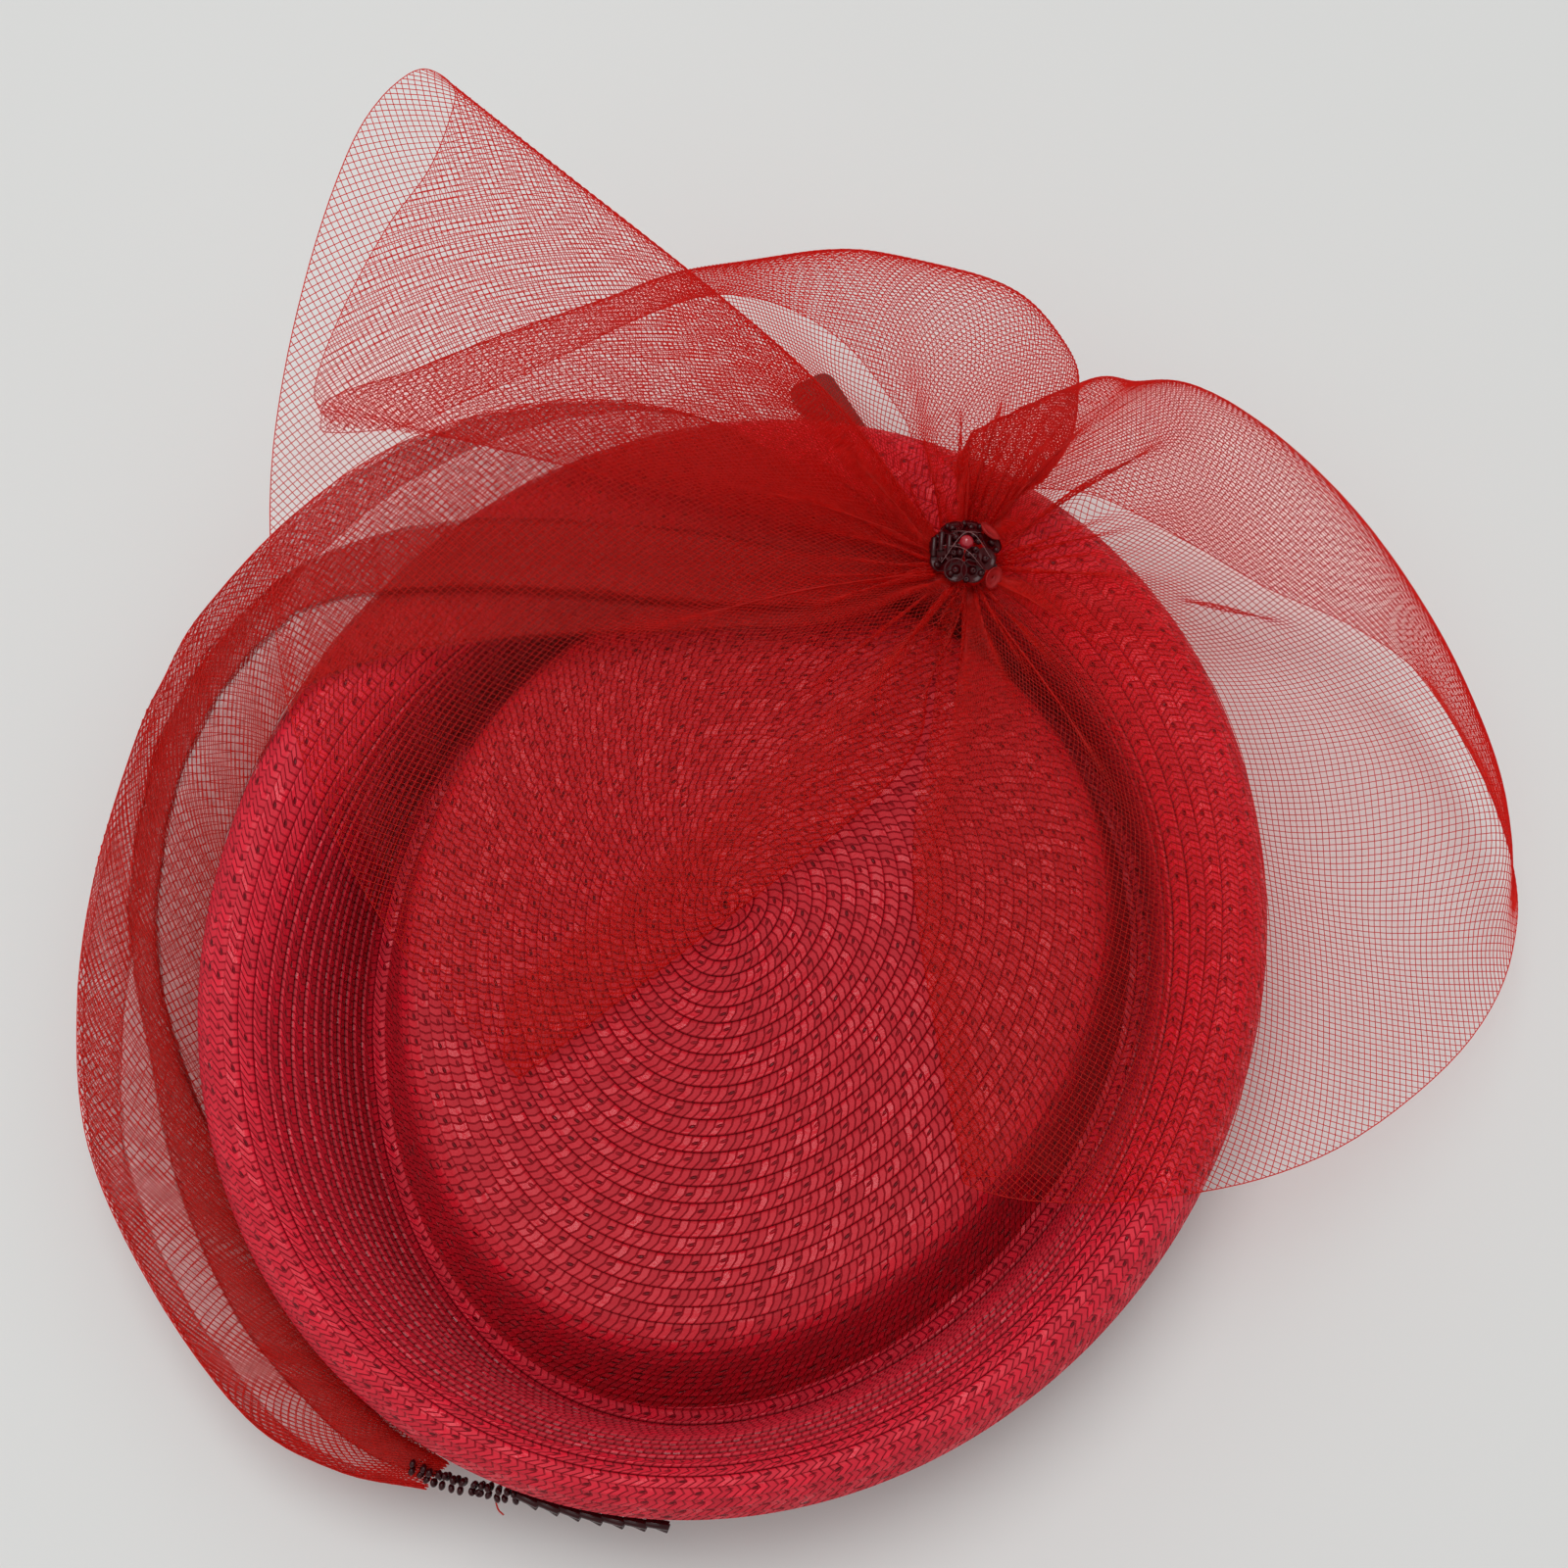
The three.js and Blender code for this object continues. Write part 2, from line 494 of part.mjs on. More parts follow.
// ---- assembly ------------------------------------------------------------------------------
add("crown", crownGeometry(), straw);
add("brim", brimGeometry(), straw);
add("net_fan_left", sheetGeometry(fanGrid(FAN_LEFT, 30, 11), NET_WALL), net);
add("net_fan_left_under", sheetGeometry(fanGrid(FAN_LEFT_UNDER, 12, 9), NET_WALL), net);
add("net_loop_back", sheetGeometry(fanGrid(LOOP_BACK, 22, 11), NET_WALL), net);
add("net_fan_right", sheetGeometry(fanGrid(FAN_RIGHT, 30, 11), NET_WALL), net);
add("net_sweep", sheetGeometry(sweepGrid(28, 12), NET_WALL), net);

const knot = add("gather_knot", knotGeometry(), net);
knot.position.set(KNOT.x, KNOT.y, 0);
const flower = add("bead_flower", flowerGeometry(), darkBead);
flower.position.set(KNOT.x, KNOT.y, KNOT.top + GAP);
const pearl = add("flower_pearl", new THREE.SphereGeometry(PEARL_RADIUS, 12, 8), redPearl);
pearl.position.set(KNOT.x, KNOT.y, KNOT.top + GAP + FLOWER.height + GAP + PEARL_RADIUS);
add("bead_trim", trimGeometry(), darkBead);
const comb = add("comb_bar", combGeometry(), combPlastic);
comb.position.set(COMB.x, COMB.y, COMB.z);
comb.rotation.z = radians(COMB.turn);

// The origin is the middle of the footprint, on the surface that the hat rests on.
hat.updateMatrixWorld(true);
const whole = new THREE.Box3().setFromObject(hat, true);
hat.position.set(-(whole.min.x + whole.max.x) / 2, -(whole.min.y + whole.max.y) / 2, -whole.min.z);

export default hat;
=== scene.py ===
"""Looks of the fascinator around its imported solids: spiral-sewn straw braid, bias-woven
crinoline net as real strands, seed and bugle beads, floor, light and camera.
Lengths are in millimetres in hat coordinates (middle of the brim outline, floor at 0) until
place() turns them into metres in the frame."""
import math

import bpy
import numpy as np
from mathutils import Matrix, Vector


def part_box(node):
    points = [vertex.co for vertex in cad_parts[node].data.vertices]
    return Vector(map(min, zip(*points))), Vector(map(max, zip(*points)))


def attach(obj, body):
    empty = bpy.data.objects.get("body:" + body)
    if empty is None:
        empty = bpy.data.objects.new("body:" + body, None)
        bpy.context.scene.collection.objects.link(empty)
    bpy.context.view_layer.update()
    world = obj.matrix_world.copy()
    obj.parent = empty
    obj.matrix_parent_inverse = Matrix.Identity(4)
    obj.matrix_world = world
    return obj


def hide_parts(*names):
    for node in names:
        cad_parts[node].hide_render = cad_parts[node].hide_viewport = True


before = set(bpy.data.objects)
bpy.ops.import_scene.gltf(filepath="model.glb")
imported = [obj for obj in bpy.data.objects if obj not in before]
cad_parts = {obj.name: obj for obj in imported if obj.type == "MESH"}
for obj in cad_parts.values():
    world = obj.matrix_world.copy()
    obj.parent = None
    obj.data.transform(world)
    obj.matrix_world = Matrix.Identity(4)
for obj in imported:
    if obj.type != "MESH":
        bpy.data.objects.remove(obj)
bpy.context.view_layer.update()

MM = 0.001
BRIM_OUTLINE_X = -0.5  # the brim outline's middle, from the hat's own middle
low, high = (np.array(corner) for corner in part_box("brim"))
HAT = (low + high) / 2 / MM - [BRIM_OUTLINE_X, 0, 0]
HAT[2] = 0.0
TURN = 2 * math.pi
rng = np.random.default_rng(7)

# ---- sizes ---------------------------------------------------------------------------------
RIBBON = 152.0  # width of the crinoline ribbon
SWEEP_STRAND = 0.11  # radius of a net strand in the sweep
SWEEP_STRETCH = 1.3  # how far the sweep's cells are pulled out lengthwise
CELL = 1.4  # side of a net cell
STRAND = 0.108  # radius of a net strand
ROOT_REACH = 6.6  # from the knot to where the net starts, under the flower
GRID = 16  # grid rows for each row of a fan's table
KNOT = dict(x=50.0, y=77.0, bottom=42.2, top=52.6, radius=6.3)
STRAWS = 3.0  # straws in one period of the plait
SLANT = 0.9  # how far a straw leans forward across a row, in straws
HAT_TURN = 67.0  # of the long axis of the brim oval, from +X

# Columns of a fan: root turn, bulge, crest turn, crest reach, crest height, edge turn, edge
# reach, edge height. A row is one spoke of the ribbon, from the knot to the outer selvedge.
FAN_LEFT = [
    (246, 0, 226, 76, 43.2, 224.5, 138, 40.0),
    (256, 0, 237, 68, 43.2, 228.5, 149, 39.6),
    (270, 0, 248, 59, 43.6, 230.2, 150.5, 39.9),
    (273, 0, 249.5, 59, 45.0, 231, 151, 41.3),
    (270, 1, 248, 59, 46.4, 230, 150.5, 42.8),
    (250, 2, 231, 68, 50, 222, 151, 48),
    (233, 3, 214, 74, 54, 210, 151, 56),
    (217, 3, 200, 75, 58, 198, 151, 64),
    (202, 4, 187, 75, 64, 186, 150, 72),
    (188, 5, 175, 75, 71, 175.5, 150, 80),
    (177, 6, 167, 75, 77, 168, 148, 92),
    (168, 7, 159, 75, 83, 163, 146, 102),
    (161, 8, 153, 74, 87, 157.5, 145, 110),
    (156, 9, 148.5, 73, 90, 152, 146, 113),
    (152, 9.5, 145.5, 72, 92, 147, 147, 112),
    (149, 10, 143, 71, 92.5, 143.5, 146.5, 109),
]
FAN_LEFT_UNDER = [
    (149, 9, 142.5, 70, 88, 142, 143, 102.5),
    (151, 7, 143.5, 72, 82, 142.8, 144, 94),
    (153, 6, 146, 74, 76, 146, 146, 83),
    (157, 5, 151, 76, 70, 150.5, 151, 73),
    (162, 4, 157, 78, 64, 157.5, 155, 61),
    (167, 3, 162, 78, 59.5, 163.5, 156, 53.5),
    (170, 2, 165, 79, 57, 165.5, 153, 51),
]
LOOP_BACK = [
    (168, 1, 165, 146, 52, 167, 150, 50),
    (162, 2, 158, 130, 55, 164, 133, 49),
    (156, 4, 150, 113, 59, 157, 119, 49),
    (149, 6, 142, 99, 64, 148, 109, 47),
    (141, 8, 134, 89, 69, 137, 106, 40),
    (132, 10, 125, 78, 73, 124, 103, 33),
    (120, 12, 110, 70, 75, 115, 94, 28),
    (106, 12, 95, 64, 73, 108, 80, 25),
    (92, 11, 78, 60, 69, 104, 65, 25),
    (80, 9, 66, 55, 65, 102, 50, 31),
    (71, 8, 59, 50, 63.5, 103, 38, 38),
    (63, 7, 54, 43, 62, 92, 28, 43),
    (55, 6, 47, 34, 60, 76, 20, 46),
    (47, 5, 40, 23, 57, 60, 15, 47),
]
FAN_RIGHT = [
    (98, 3, 100, 19, 57, 92, 14, 50),
    (86, 5, 84, 27, 60, 66, 20, 49),
    (72, 6, 69, 34, 62, 48, 27, 48),
    (58, 7, 57, 44, 63, 33, 36, 46),
    (47, 8, 49, 51, 64.5, 20, 46, 42),
    (40, 8, 42, 55, 65, 11, 57, 37),
    (31, 9, 35, 63, 65, 5, 75, 25),
    (20, 9, 24, 73, 61, 0, 95, 19),
    (8, 8, 12, 83.5, 56, -5, 110, 16),
    (-4, 7, 0, 95, 51, -12, 121, 15),
    (-16, 6, -11, 108, 45, -20, 133, 15),
    (-26, 5, -20, 120, 39, -28, 143, 17),
    (-34, 5, -28, 124.5, 38, -34, 147, 21),
    (-42, 4, -37, 111, 43.5, -39, 149, 25),
    (-50, 3, -46, 97, 46, -45, 150, 29),
    (-58, 2, -55, 88, 47, -53, 150, 34),
    (-66, 1, -64, 80, 48, -61, 150, 39),
    (-73, 1, -73, 76, 48.5, -68, 149, 43),
    (-78, 1, -82, 76, 49, -75, 147, 45),
    (-82, 0, -90, 76, 48, -82, 145, 46),
    (-85, 0, -95, 78, 47.5, -87.5, 143, 45.6),
    (-98, 0, -98.5, 80, 47, -91.5, 140, 45),
    (-110, 1, -99.5, 76, 46, -91.5, 138, 43.8),
    (-106, -1, -94, 80, 45, -89, 138, 43.6),
]
# Columns of a pinch, a place where the ribbon folds over itself along a spoke: table row, half
# width in rows, start and end from the knot, depth (over 1 folds back), lift.
PINCHES = {
    "net_left": [
        (7.4, 0.35, 4, 100, 1.3, 1.5),
        (5.6, 0.25, 4, 60, 1.5, 1.2),
        (9.5, 0.3, 4, 70, 1.2, 1.0),
        (32.2, 0.32, 6, 52, 2.0, 1.5),
        (31.0, 0.3, 10, 48, 1.8, 1.5),
    ],
    "net_right": [
        (5.3, 0.5, 8, 66, 1.9, 2.0),
        (7.3, 0.5, 8, 66, 1.9, 2.0),
        (10.7, 0.24, 42, 74, 1.9, 1.0),
        (13.6, 0.35, 4, 60, 1.3, 1.2),
        (16.3, 0.4, 4, 80, 1.3, 1.5),
        (2.4, 0.3, 6, 40, 1.6, 1.2),
    ],
}


def with_root(rows, root_z):
    return [(root_z, *row) for row in rows]


# The ribbon runs on from one fan to the next; the first column is the height at the knot.
RIBBONS = {
    "net_left": with_root(FAN_LEFT, 51.6) + with_root(FAN_LEFT_UNDER, 49.1) + with_root(LOOP_BACK, 46.6),
    "net_right": with_root(FAN_RIGHT, 49.2),
}
LOOP_STARTS = (len(FAN_LEFT) + len(FAN_LEFT_UNDER) - 0.5) / (len(RIBBONS["net_left"]) - 1)

# Columns of the sweep: inner x, y, z; outer x, y, z; bulge, back, tuck, and the shares of its
# width where its lengthwise pleat begins and ends.
SWEEP = [
    (41.9, 72.2, 44.6, 41.3, 81.5, 44.6, 0, -1.5, 0, 0.1, 0.4),
    (20, 64, 43.6, 16, 102, 43.8, 0.5, -2, 0.2, 0.06, 0.3),
    (-8, 62, 43.6, -12, 120, 43.4, 1.5, -1.5, 2, 0.06, 0.28),
    (-40, 60, 44, -46, 126, 40.4, 2.5, 2, 7, 0.1, 0.3),
    (-72, 56, 45.5, -81, 117, 37, 3, 6, 9, 0.15, 0.36),
    (-96, 47.5, 45, -107, 99, 33, 4, 9, 11, 0.22, 0.42),
    (-106.6, 32.2, 38.9, -127, 74, 30, 5, 9, 11, 0.27, 0.5),
    (-112.4, 22.3, 32, -133.8, 58.5, 28.8, 6, 9.3, 11, 0.275, 0.515),
    (-115.6, 11, 26, -139, 42, 28, 7, 9.5, 11, 0.28, 0.53),
    (-109.5, -17, 18.5, -144.5, 10, 26, 8, 9.5, 11, 0.33, 0.51),
    (-104, -43, 17, -144.5, -20, 25, 8, 9, 11, 0.22, 0.38),
    (-92, -70, 17, -138, -51, 24, 7, 7, 10, 0.1, 0.37),
    (-79, -91.5, 18, -120.5, -81, 23, 5, 6, 8, 0.08, 0.4),
    (-71, -103, 19.5, -99, -105.5, 22.5, 3, 5, 5, 0.06, 0.34),
    (-65, -109, 20.3, -80, -115.5, 22, 2, 3, 3, 0.05, 0.38),
    (-57.5, -114, 20.6, -62, -119, 22, 1, 1, 1, 0.0, 0.4),
]

# Columns of the straw ovals: x, y, long, across, turn, egg, z, from the inside outwards.
CROWN_RINGS = [
    (-3.2, -0.8, 0.6, 0.5, 70, 0.1, 37.3),
    (-3.0, -1.0, 5, 4, 70, 0.1, 37.25),
    (-1.7, -2.6, 28.6, 24.4, 70, 0.1, 37.0),
    (-0.5, -4.0, 51.9, 44.2, 70, 0.1, 36.2),
    (0.4, -5.1, 69.8, 59.4, 70, 0.1, 34.8),
    (0.9, -5.7, 80.5, 68.6, 70, 0.1, 33.0),
    (1.3, -6.1, 86.8, 73.9, 70, 0.1, 30.2),
    (1.4, -6.3, 89.5, 76.2, 70, 0.1, 25.2),
    (1.4, -6.3, 92.5, 79.2, 70, 0.1, 14),
    (1.4, -6.3, 96, 82.7, 70, 0.1, 5),
    (1.4, -6.3, 97.5, 84.2, 70, 0.1, 1.6),
]
BRIM_RINGS = [
    (1.4, -6.3, 96.0, 83.0, 70, 0.1, 2.1),
    (1.4, -6.3, 99.0, 86.2, 70, 0.1, 2.1),
    (1.4, -6.3, 101.5, 88.7, 70, 0.1, 3.6),
    (0.6, -7.2, 102.3, 89.6, 69, 0.08, 10),
    (-0.4, -8.2, 102.9, 90.4, 68.5, 0.06, 19),
    (-1.2, -9, 103.4, 91, 68, 0.04, 27),
    (-2.5, -10, 105, 92.8, HAT_TURN, 0, 36.5),
    (-2, -8, 109, 97, HAT_TURN, 0, 40.8),
    (-1.5, -4, 117, 104, HAT_TURN, 0, 42.5),
    (-0.8, -1.4, 123, 109.6, HAT_TURN, 0, 39.5),
    (-0.5, 0, 126.4, 113.1, HAT_TURN, 0, 32.5),
    (-0.5, 0, 125.8, 112.6, HAT_TURN, 0, 27),
    (-0.5, 0, 123.8, 110.8, HAT_TURN, 0, 22.5),
]


# ---- helpers -------------------------------------------------------------------------------
def spline(values, at):
    """Uniform Catmull-Rom through rows of values, with straight ends; at runs from 0 to 1."""
    values = np.asarray(values, float)
    ends = np.vstack([2 * values[0] - values[1], values, 2 * values[-1] - values[-2]])
    last = len(values) - 1
    spot = np.clip(at, 0, 1) * last
    k = np.minimum(spot.astype(int), last - 1)
    f = (spot - k)[:, None]
    a, b, c, d = (ends[k + i] for i in range(4))
    return b + 0.5 * f * (c - a + f * (2 * a - 5 * b + 4 * c - d + f * (3 * (b - c) + d - a)))


def smooth(x):
    """A soft step from 0 to 1."""
    x = np.clip(x, 0, 1)
    return x * x * (3 - 2 * x)


def unit(v):
    return v / np.maximum(np.linalg.norm(v, axis=-1, keepdims=True), 1e-9)


def lengths(points):
    """Cumulative length along the second-last axis."""
    steps = np.linalg.norm(np.diff(points, axis=-2), axis=-1)
    zero = np.zeros(steps.shape[:-1] + (1,))
    return np.concatenate([zero, np.cumsum(steps, axis=-1)], axis=-1)


def polar(turn, reach, z):
    """Points from the knot's middle: degrees from +X, distance and height."""
    t = np.radians(turn)
    return np.stack([KNOT["x"] + reach * np.cos(t), KNOT["y"] + reach * np.sin(t), z + 0 * t], -1)


def place(points):
    """Hat coordinates in millimetres to the frame's metres."""
    return (np.asarray(points) + HAT) * MM


def mesh_object(name, points, faces, uv=None):
    mesh = bpy.data.meshes.new(name)
    mesh.from_pydata(place(points).tolist(), [], faces.tolist())
    if uv is not None:
        layer = mesh.uv_layers.new(name="pattern")
        layer.data.foreach_set("uv", uv[faces.ravel()].astype(np.float32).ravel())
    mesh.polygons.foreach_set("use_smooth", [True] * len(mesh.polygons))
    mesh.update()
    piece = bpy.data.objects.new(name, mesh)
    bpy.context.scene.collection.objects.link(piece)
    return piece


def settle(piece, slot, material, *nodes):
    """Every piece rides on the one body and stands for nodes; slot is not used."""
    piece.data.materials.clear()
    piece.data.materials.append(material)
    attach(piece, "root")
    if nodes:
        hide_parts(*nodes)
    return piece


def grid_faces(rows, columns, close_rows=False):
    """Four-sided faces of a grid of points, whose last row may join its first."""
    i = np.arange(rows if close_rows else rows - 1)[:, None] * columns
    j = np.arange(columns - 1)[None, :]
    a = (i + j).ravel()
    b = ((i + columns) % (rows * columns) + j).ravel()
    return np.stack([a, b, b + 1, a + 1], -1)


def ring_faces(rows, sides, close_rows=False):
    """Faces of a grid whose columns close on themselves."""
    faces = grid_faces(rows, sides + 1, close_rows)
    row, column = faces // (sides + 1), faces % (sides + 1)
    return row * sides + column % sides


# ---- materials -----------------------------------------------------------------------------
class Look:
    """A material being built: a Principled node and short ways to add and join nodes."""

    def __init__(self, name, **sockets):
        self.material = bpy.data.materials.new(name)
        self.material.use_nodes = True
        self.nodes = self.material.node_tree.nodes
        self.shader = self.nodes["Principled BSDF"]
        for key, value in sockets.items():
            self.shader.inputs[key.replace("_", " ")].default_value = value

    def add(self, kind, **settings):
        node = self.nodes.new(kind)
        for key, value in settings.items():
            setattr(node, key, value)
        return node

    def join(self, source, target):
        self.material.node_tree.links.new(source, target)

    def feed(self, socket, value):
        if isinstance(value, bpy.types.NodeSocket):
            self.join(value, socket)
        else:
            socket.default_value = value

    def math(self, operation, *values, clamp=False):
        node = self.add("ShaderNodeMath", operation=operation, use_clamp=clamp)
        for socket, value in zip(node.inputs, values):
            self.feed(socket, value)
        return node.outputs[0]

    def noise(self, scale, detail=2.0):
        node = self.add("ShaderNodeTexNoise")
        node.inputs["Scale"].default_value = scale
        node.inputs["Detail"].default_value = detail
        self.join(self.add("ShaderNodeTexCoord").outputs["Object"], node.inputs["Vector"])
        return node.outputs[0]

    def chance(self, value):
        """A number of its own, from 0 to 1, for each whole number."""
        node = self.add("ShaderNodeTexWhiteNoise", noise_dimensions="1D")
        self.join(value, node.inputs["W"])
        return node.outputs["Value"]

    def mix(self, share, first, second):
        node = self.add("ShaderNodeMix", data_type="RGBA")
        self.feed(node.inputs[0], share)
        self.feed(node.inputs[6], first)
        self.feed(node.inputs[7], second)
        return node.outputs[2]

    def bump(self, height, strength, distance):
        node = self.add("ShaderNodeBump")
        node.inputs["Strength"].default_value = strength
        node.inputs["Distance"].default_value = distance
        self.join(height, node.inputs["Height"])
        self.join(node.outputs[0], self.shader.inputs["Normal"])

    def colour(self, value):
        self.join(value, self.shader.inputs["Base Color"])


def rgba(tone, share=1.0, more=0.0):
    """A tone made lighter or darker, with alpha."""
    return (*[min(c * share + more, 1) for c in tone], 1)


# The slits of the plait, painted dark as shade in their hollows: how sharply they end along and
# across a row, where they lie across it and how far that varies, and how far they slant.
SLIT = dict(along=6.5, across=7.5, middle=0.34, spread=0.16, slant=0.7)
# Where a line of painted shade in the plait begins and how sharply it darkens from there: between
# straws in shares of a straw, at the inner and outer edge of a row in shares of the row.
STRAW_EDGE = dict(start=0.36, sharp=6.0)
ROW_GAP_SHADE = dict(start=0.08, sharp=9.0)
ROW_RIM_SHADE = dict(start=0.96, sharp=20.0)
# Light and dull stretches along a net strand: how fine, where they start, how sharply, how dull.
GLINT = dict(scale=650.0, start=0.4, sharp=5.0, dull=0.8)


def straw_look(name, bright, dark, chevron):
    """Plaited straw: slanting flat straws, each of its own tone and gloss, slits along a row, and
    painted shade, in the tone dark, in the slits, between straws and where rows overlap. chevron is
    how far the straws lean both ways from the middle of a row."""
    look = Look(name, Specular_IOR_Level=0.3)
    uv = look.add("ShaderNodeUVMap", uv_map="pattern").outputs[0]
    split = look.add("ShaderNodeSeparateXYZ")
    look.join(uv, split.inputs[0])
    along, across = split.outputs[0], split.outputs[1]
    off = look.math("SUBTRACT", across, 0.5)
    lean = look.math("MULTIPLY", look.math("ABSOLUTE", off), chevron)
    lean = look.math("ADD", lean, look.math("MULTIPLY", off, SLANT))
    place_along = look.math("ADD", look.math("MULTIPLY", along, STRAWS), lean)
    straw = look.math("ABSOLUTE", look.math("SUBTRACT", look.math("FRACT", place_along), 0.5))
    edge = look.math("SUBTRACT", straw, STRAW_EDGE["start"])
    edge = look.math("MULTIPLY", edge, STRAW_EDGE["sharp"], clamp=True)
    own = look.chance(look.math("FLOOR", place_along))
    slit_along = look.math("ADD", along, look.math("MULTIPLY", off, SLIT["slant"]))
    deep = look.chance(look.math("ADD", look.math("FLOOR", slit_along), 0.5))
    slit_x = look.math("ABSOLUTE", look.math("SUBTRACT", look.math("FRACT", slit_along), 0.5))
    slit_x = look.math("POWER", look.math("MULTIPLY", slit_x, SLIT["along"]), 2.0)
    slit_middle = look.math("ADD", look.math("MULTIPLY", deep, SLIT["spread"]), SLIT["middle"])
    slit_y = look.math("ABSOLUTE", look.math("SUBTRACT", across, slit_middle))
    slit_y = look.math("POWER", look.math("MULTIPLY", slit_y, SLIT["across"]), 2.0)
    slit = look.math("SUBTRACT", 1.0, look.math("ADD", slit_x, slit_y), clamp=True)
    # A deeper slit gets darker painted shade and also sinks further in the bump.
    depth = look.math("ADD", look.math("MULTIPLY", deep, 0.7), 0.5)
    slit = look.math("MULTIPLY", slit, depth, clamp=True)
    gap = look.math("SUBTRACT", ROW_GAP_SHADE["start"], across)
    gap = look.math("MULTIPLY", gap, ROW_GAP_SHADE["sharp"], clamp=True)
    rim = look.math("SUBTRACT", across, ROW_RIM_SHADE["start"])
    rim = look.math("MULTIPLY", rim, ROW_RIM_SHADE["sharp"], clamp=True)
    # Painted shade: the slits, the lines between straws and the inner and outer edges of a row, where
    # rows overlap, are darkened towards dark.
    shade = look.math("MAXIMUM", slit, look.math("MAXIMUM", gap, rim))
    shade = look.math("MAXIMUM", shade, look.math("MULTIPLY", edge, 0.5))
    patch = look.noise(90.0, 3.0)
    fibre = look.noise(1400.0, 2.0)
    tone = look.mix(own, rgba(bright, 0.72), rgba(bright, 1.12))
    tone = look.mix(look.math("MULTIPLY", patch, 0.5), tone, rgba(bright, 0.8))
    tone = look.mix(look.math("MULTIPLY", fibre, 0.25), tone, rgba(bright, 1.4, 0.012))
    look.colour(look.mix(shade, tone, rgba(dark)))
    gloss = look.math("SUBTRACT", 0.62, look.math("MULTIPLY", look.math("POWER", own, 3.0), 0.4))
    look.join(gloss, look.shader.inputs["Roughness"])
    grain = look.math("MULTIPLY", fibre, 0.25)
    relief = look.math("SUBTRACT", grain, look.math("ADD", look.math("MULTIPLY", edge, 0.6), slit))
    relief = look.math("ADD", relief, look.math("MULTIPLY", own, 0.3))
    look.bump(relief, 1.0, 0.0006)
    return look.material


def net_look(name, tone, tint, glow, clear):
    """Dyed clear nylon: part shines, part glows from behind, part lets tinted light through."""
    look = Look(name, Roughness=0.3, Specular_IOR_Level=0.6)
    patch = look.noise(60.0, 2.0)
    glint = look.math("SUBTRACT", look.noise(GLINT["scale"], 2.0), GLINT["start"])
    glint = look.math("MULTIPLY", glint, GLINT["sharp"], clamp=True)
    colour = look.mix(patch, rgba(tone), rgba(tone, 0.86))
    colour = look.mix(glint, rgba(tone, GLINT["dull"]), colour)
    look.colour(colour)
    through = look.add("ShaderNodeBsdfTranslucent")
    look.join(colour, through.inputs[0])
    veil = look.add("ShaderNodeBsdfTransparent")
    veil.inputs[0].default_value = rgba(tint)
    surface = look.shader.outputs[0]
    for share, other in ((glow, through), (clear, veil)):
        blend = look.add("ShaderNodeMixShader")
        blend.inputs[0].default_value = share
        look.join(surface, blend.inputs[1])
        look.join(other.outputs[0], blend.inputs[2])
        surface = blend.outputs[0]
    look.join(surface, look.nodes["Material Output"].inputs["Surface"])
    return look.material


def film_look(name, tone, cover):
    """The finest cross threads of the net, too fine to build one by one. They cover a share of
    the ribbon, cover at most."""
    look = Look(name, Roughness=0.5, Specular_IOR_Level=0.2)
    patch = look.noise(400.0, 2.0)
    look.colour(look.mix(patch, rgba(tone), rgba(tone, 0.7)))
    look.join(look.math("MULTIPLY", patch, cover), look.shader.inputs["Alpha"])
    return look.material


def plain_look(name, tone, grain, scale, **sockets):
    """A smooth surface whose tone varies down to a share, grain, of itself."""
    look = Look(name, **sockets)
    patch = look.noise(scale, 3.0)
    look.colour(look.mix(patch, rgba(tone), rgba(tone, grain)))
    look.bump(patch, 0.15, 0.0002)
    return look.material


# The second tone of each straw look is the painted shade in its slits and between its straws and rows.
crown_material = straw_look("straw crown", (0.56, 0.009, 0.022), (0.14, 0.001, 0.004), 0.5)
brim_material = straw_look("straw brim", (0.72, 0.014, 0.037), (0.15, 0.001, 0.005), 1.6)
net_material = net_look("net strand", (0.97, 0.045, 0.030), (0.99, 0.2, 0.16), 0.45, 0.62)
film_material = film_look("net film", (0.85, 0.09, 0.07), 0.05)
veil_material = film_look("net veil", (0.60, 0.036, 0.030), 0.42)
bead_material = plain_look(
    "dark bead", (0.05, 0.003, 0.005), 0.4, 300.0, Roughness=0.16, Specular_IOR_Level=0.28
)
sequin_material = plain_look(
    "dark sequin", (0.07, 0.001, 0.003), 0.5, 300.0, Roughness=0.2, Specular_IOR_Level=0.25
)
thread_material = net_look("clear thread", (0.6, 0.35, 0.35), (0.9, 0.8, 0.8), 0.3, 0.4)
bright_material = net_look("bright sequin", (0.75, 0.05, 0.05), (0.95, 0.32, 0.3), 0.3, 0.4)
pearl_material = plain_look(
    "red pearl", (0.42, 0.012, 0.025), 0.8, 200.0, Roughness=0.16, Coat_Weight=0.5
)
comb_material = plain_look("brown comb", (0.10, 0.035, 0.02), 0.7, 120.0, Roughness=0.35)


# ---- straw braid ---------------------------------------------------------------------------
def oval_points(rings, station, angle):
    """Points at a station, from 0 to 1 over the rings, and at an angle round the oval there."""
    x, y, long, across, turn, egg, z = spline(rings, station).T
    along = long * np.cos(angle)
    side = across * np.sin(angle) * (1 + egg * np.cos(angle))
    cos, sin = np.cos(np.radians(turn)), np.sin(np.radians(turn))
    return np.stack([x + along * cos - side * sin, y + along * sin + side * cos, z], -1)


PLAIT_RELIEF = dict(straw=0.2, slit=0.3)  # how far a straw stands out and a slit sinks in
SLIT_HALF = dict(along=0.13, across=0.14)  # in periods and in shares of a row
# Columns of the slow waves that hand sewing leaves: height, length in periods.
WAVES = [(0.1, 2.3), (0.08, 5.1)]
NUDGE = dict(across=0.3, round=0.01)  # steps that the slope is measured over
PROFILE_STEPS = 400
FEWEST_STEPS = 20  # sections in the smallest turn of the spiral


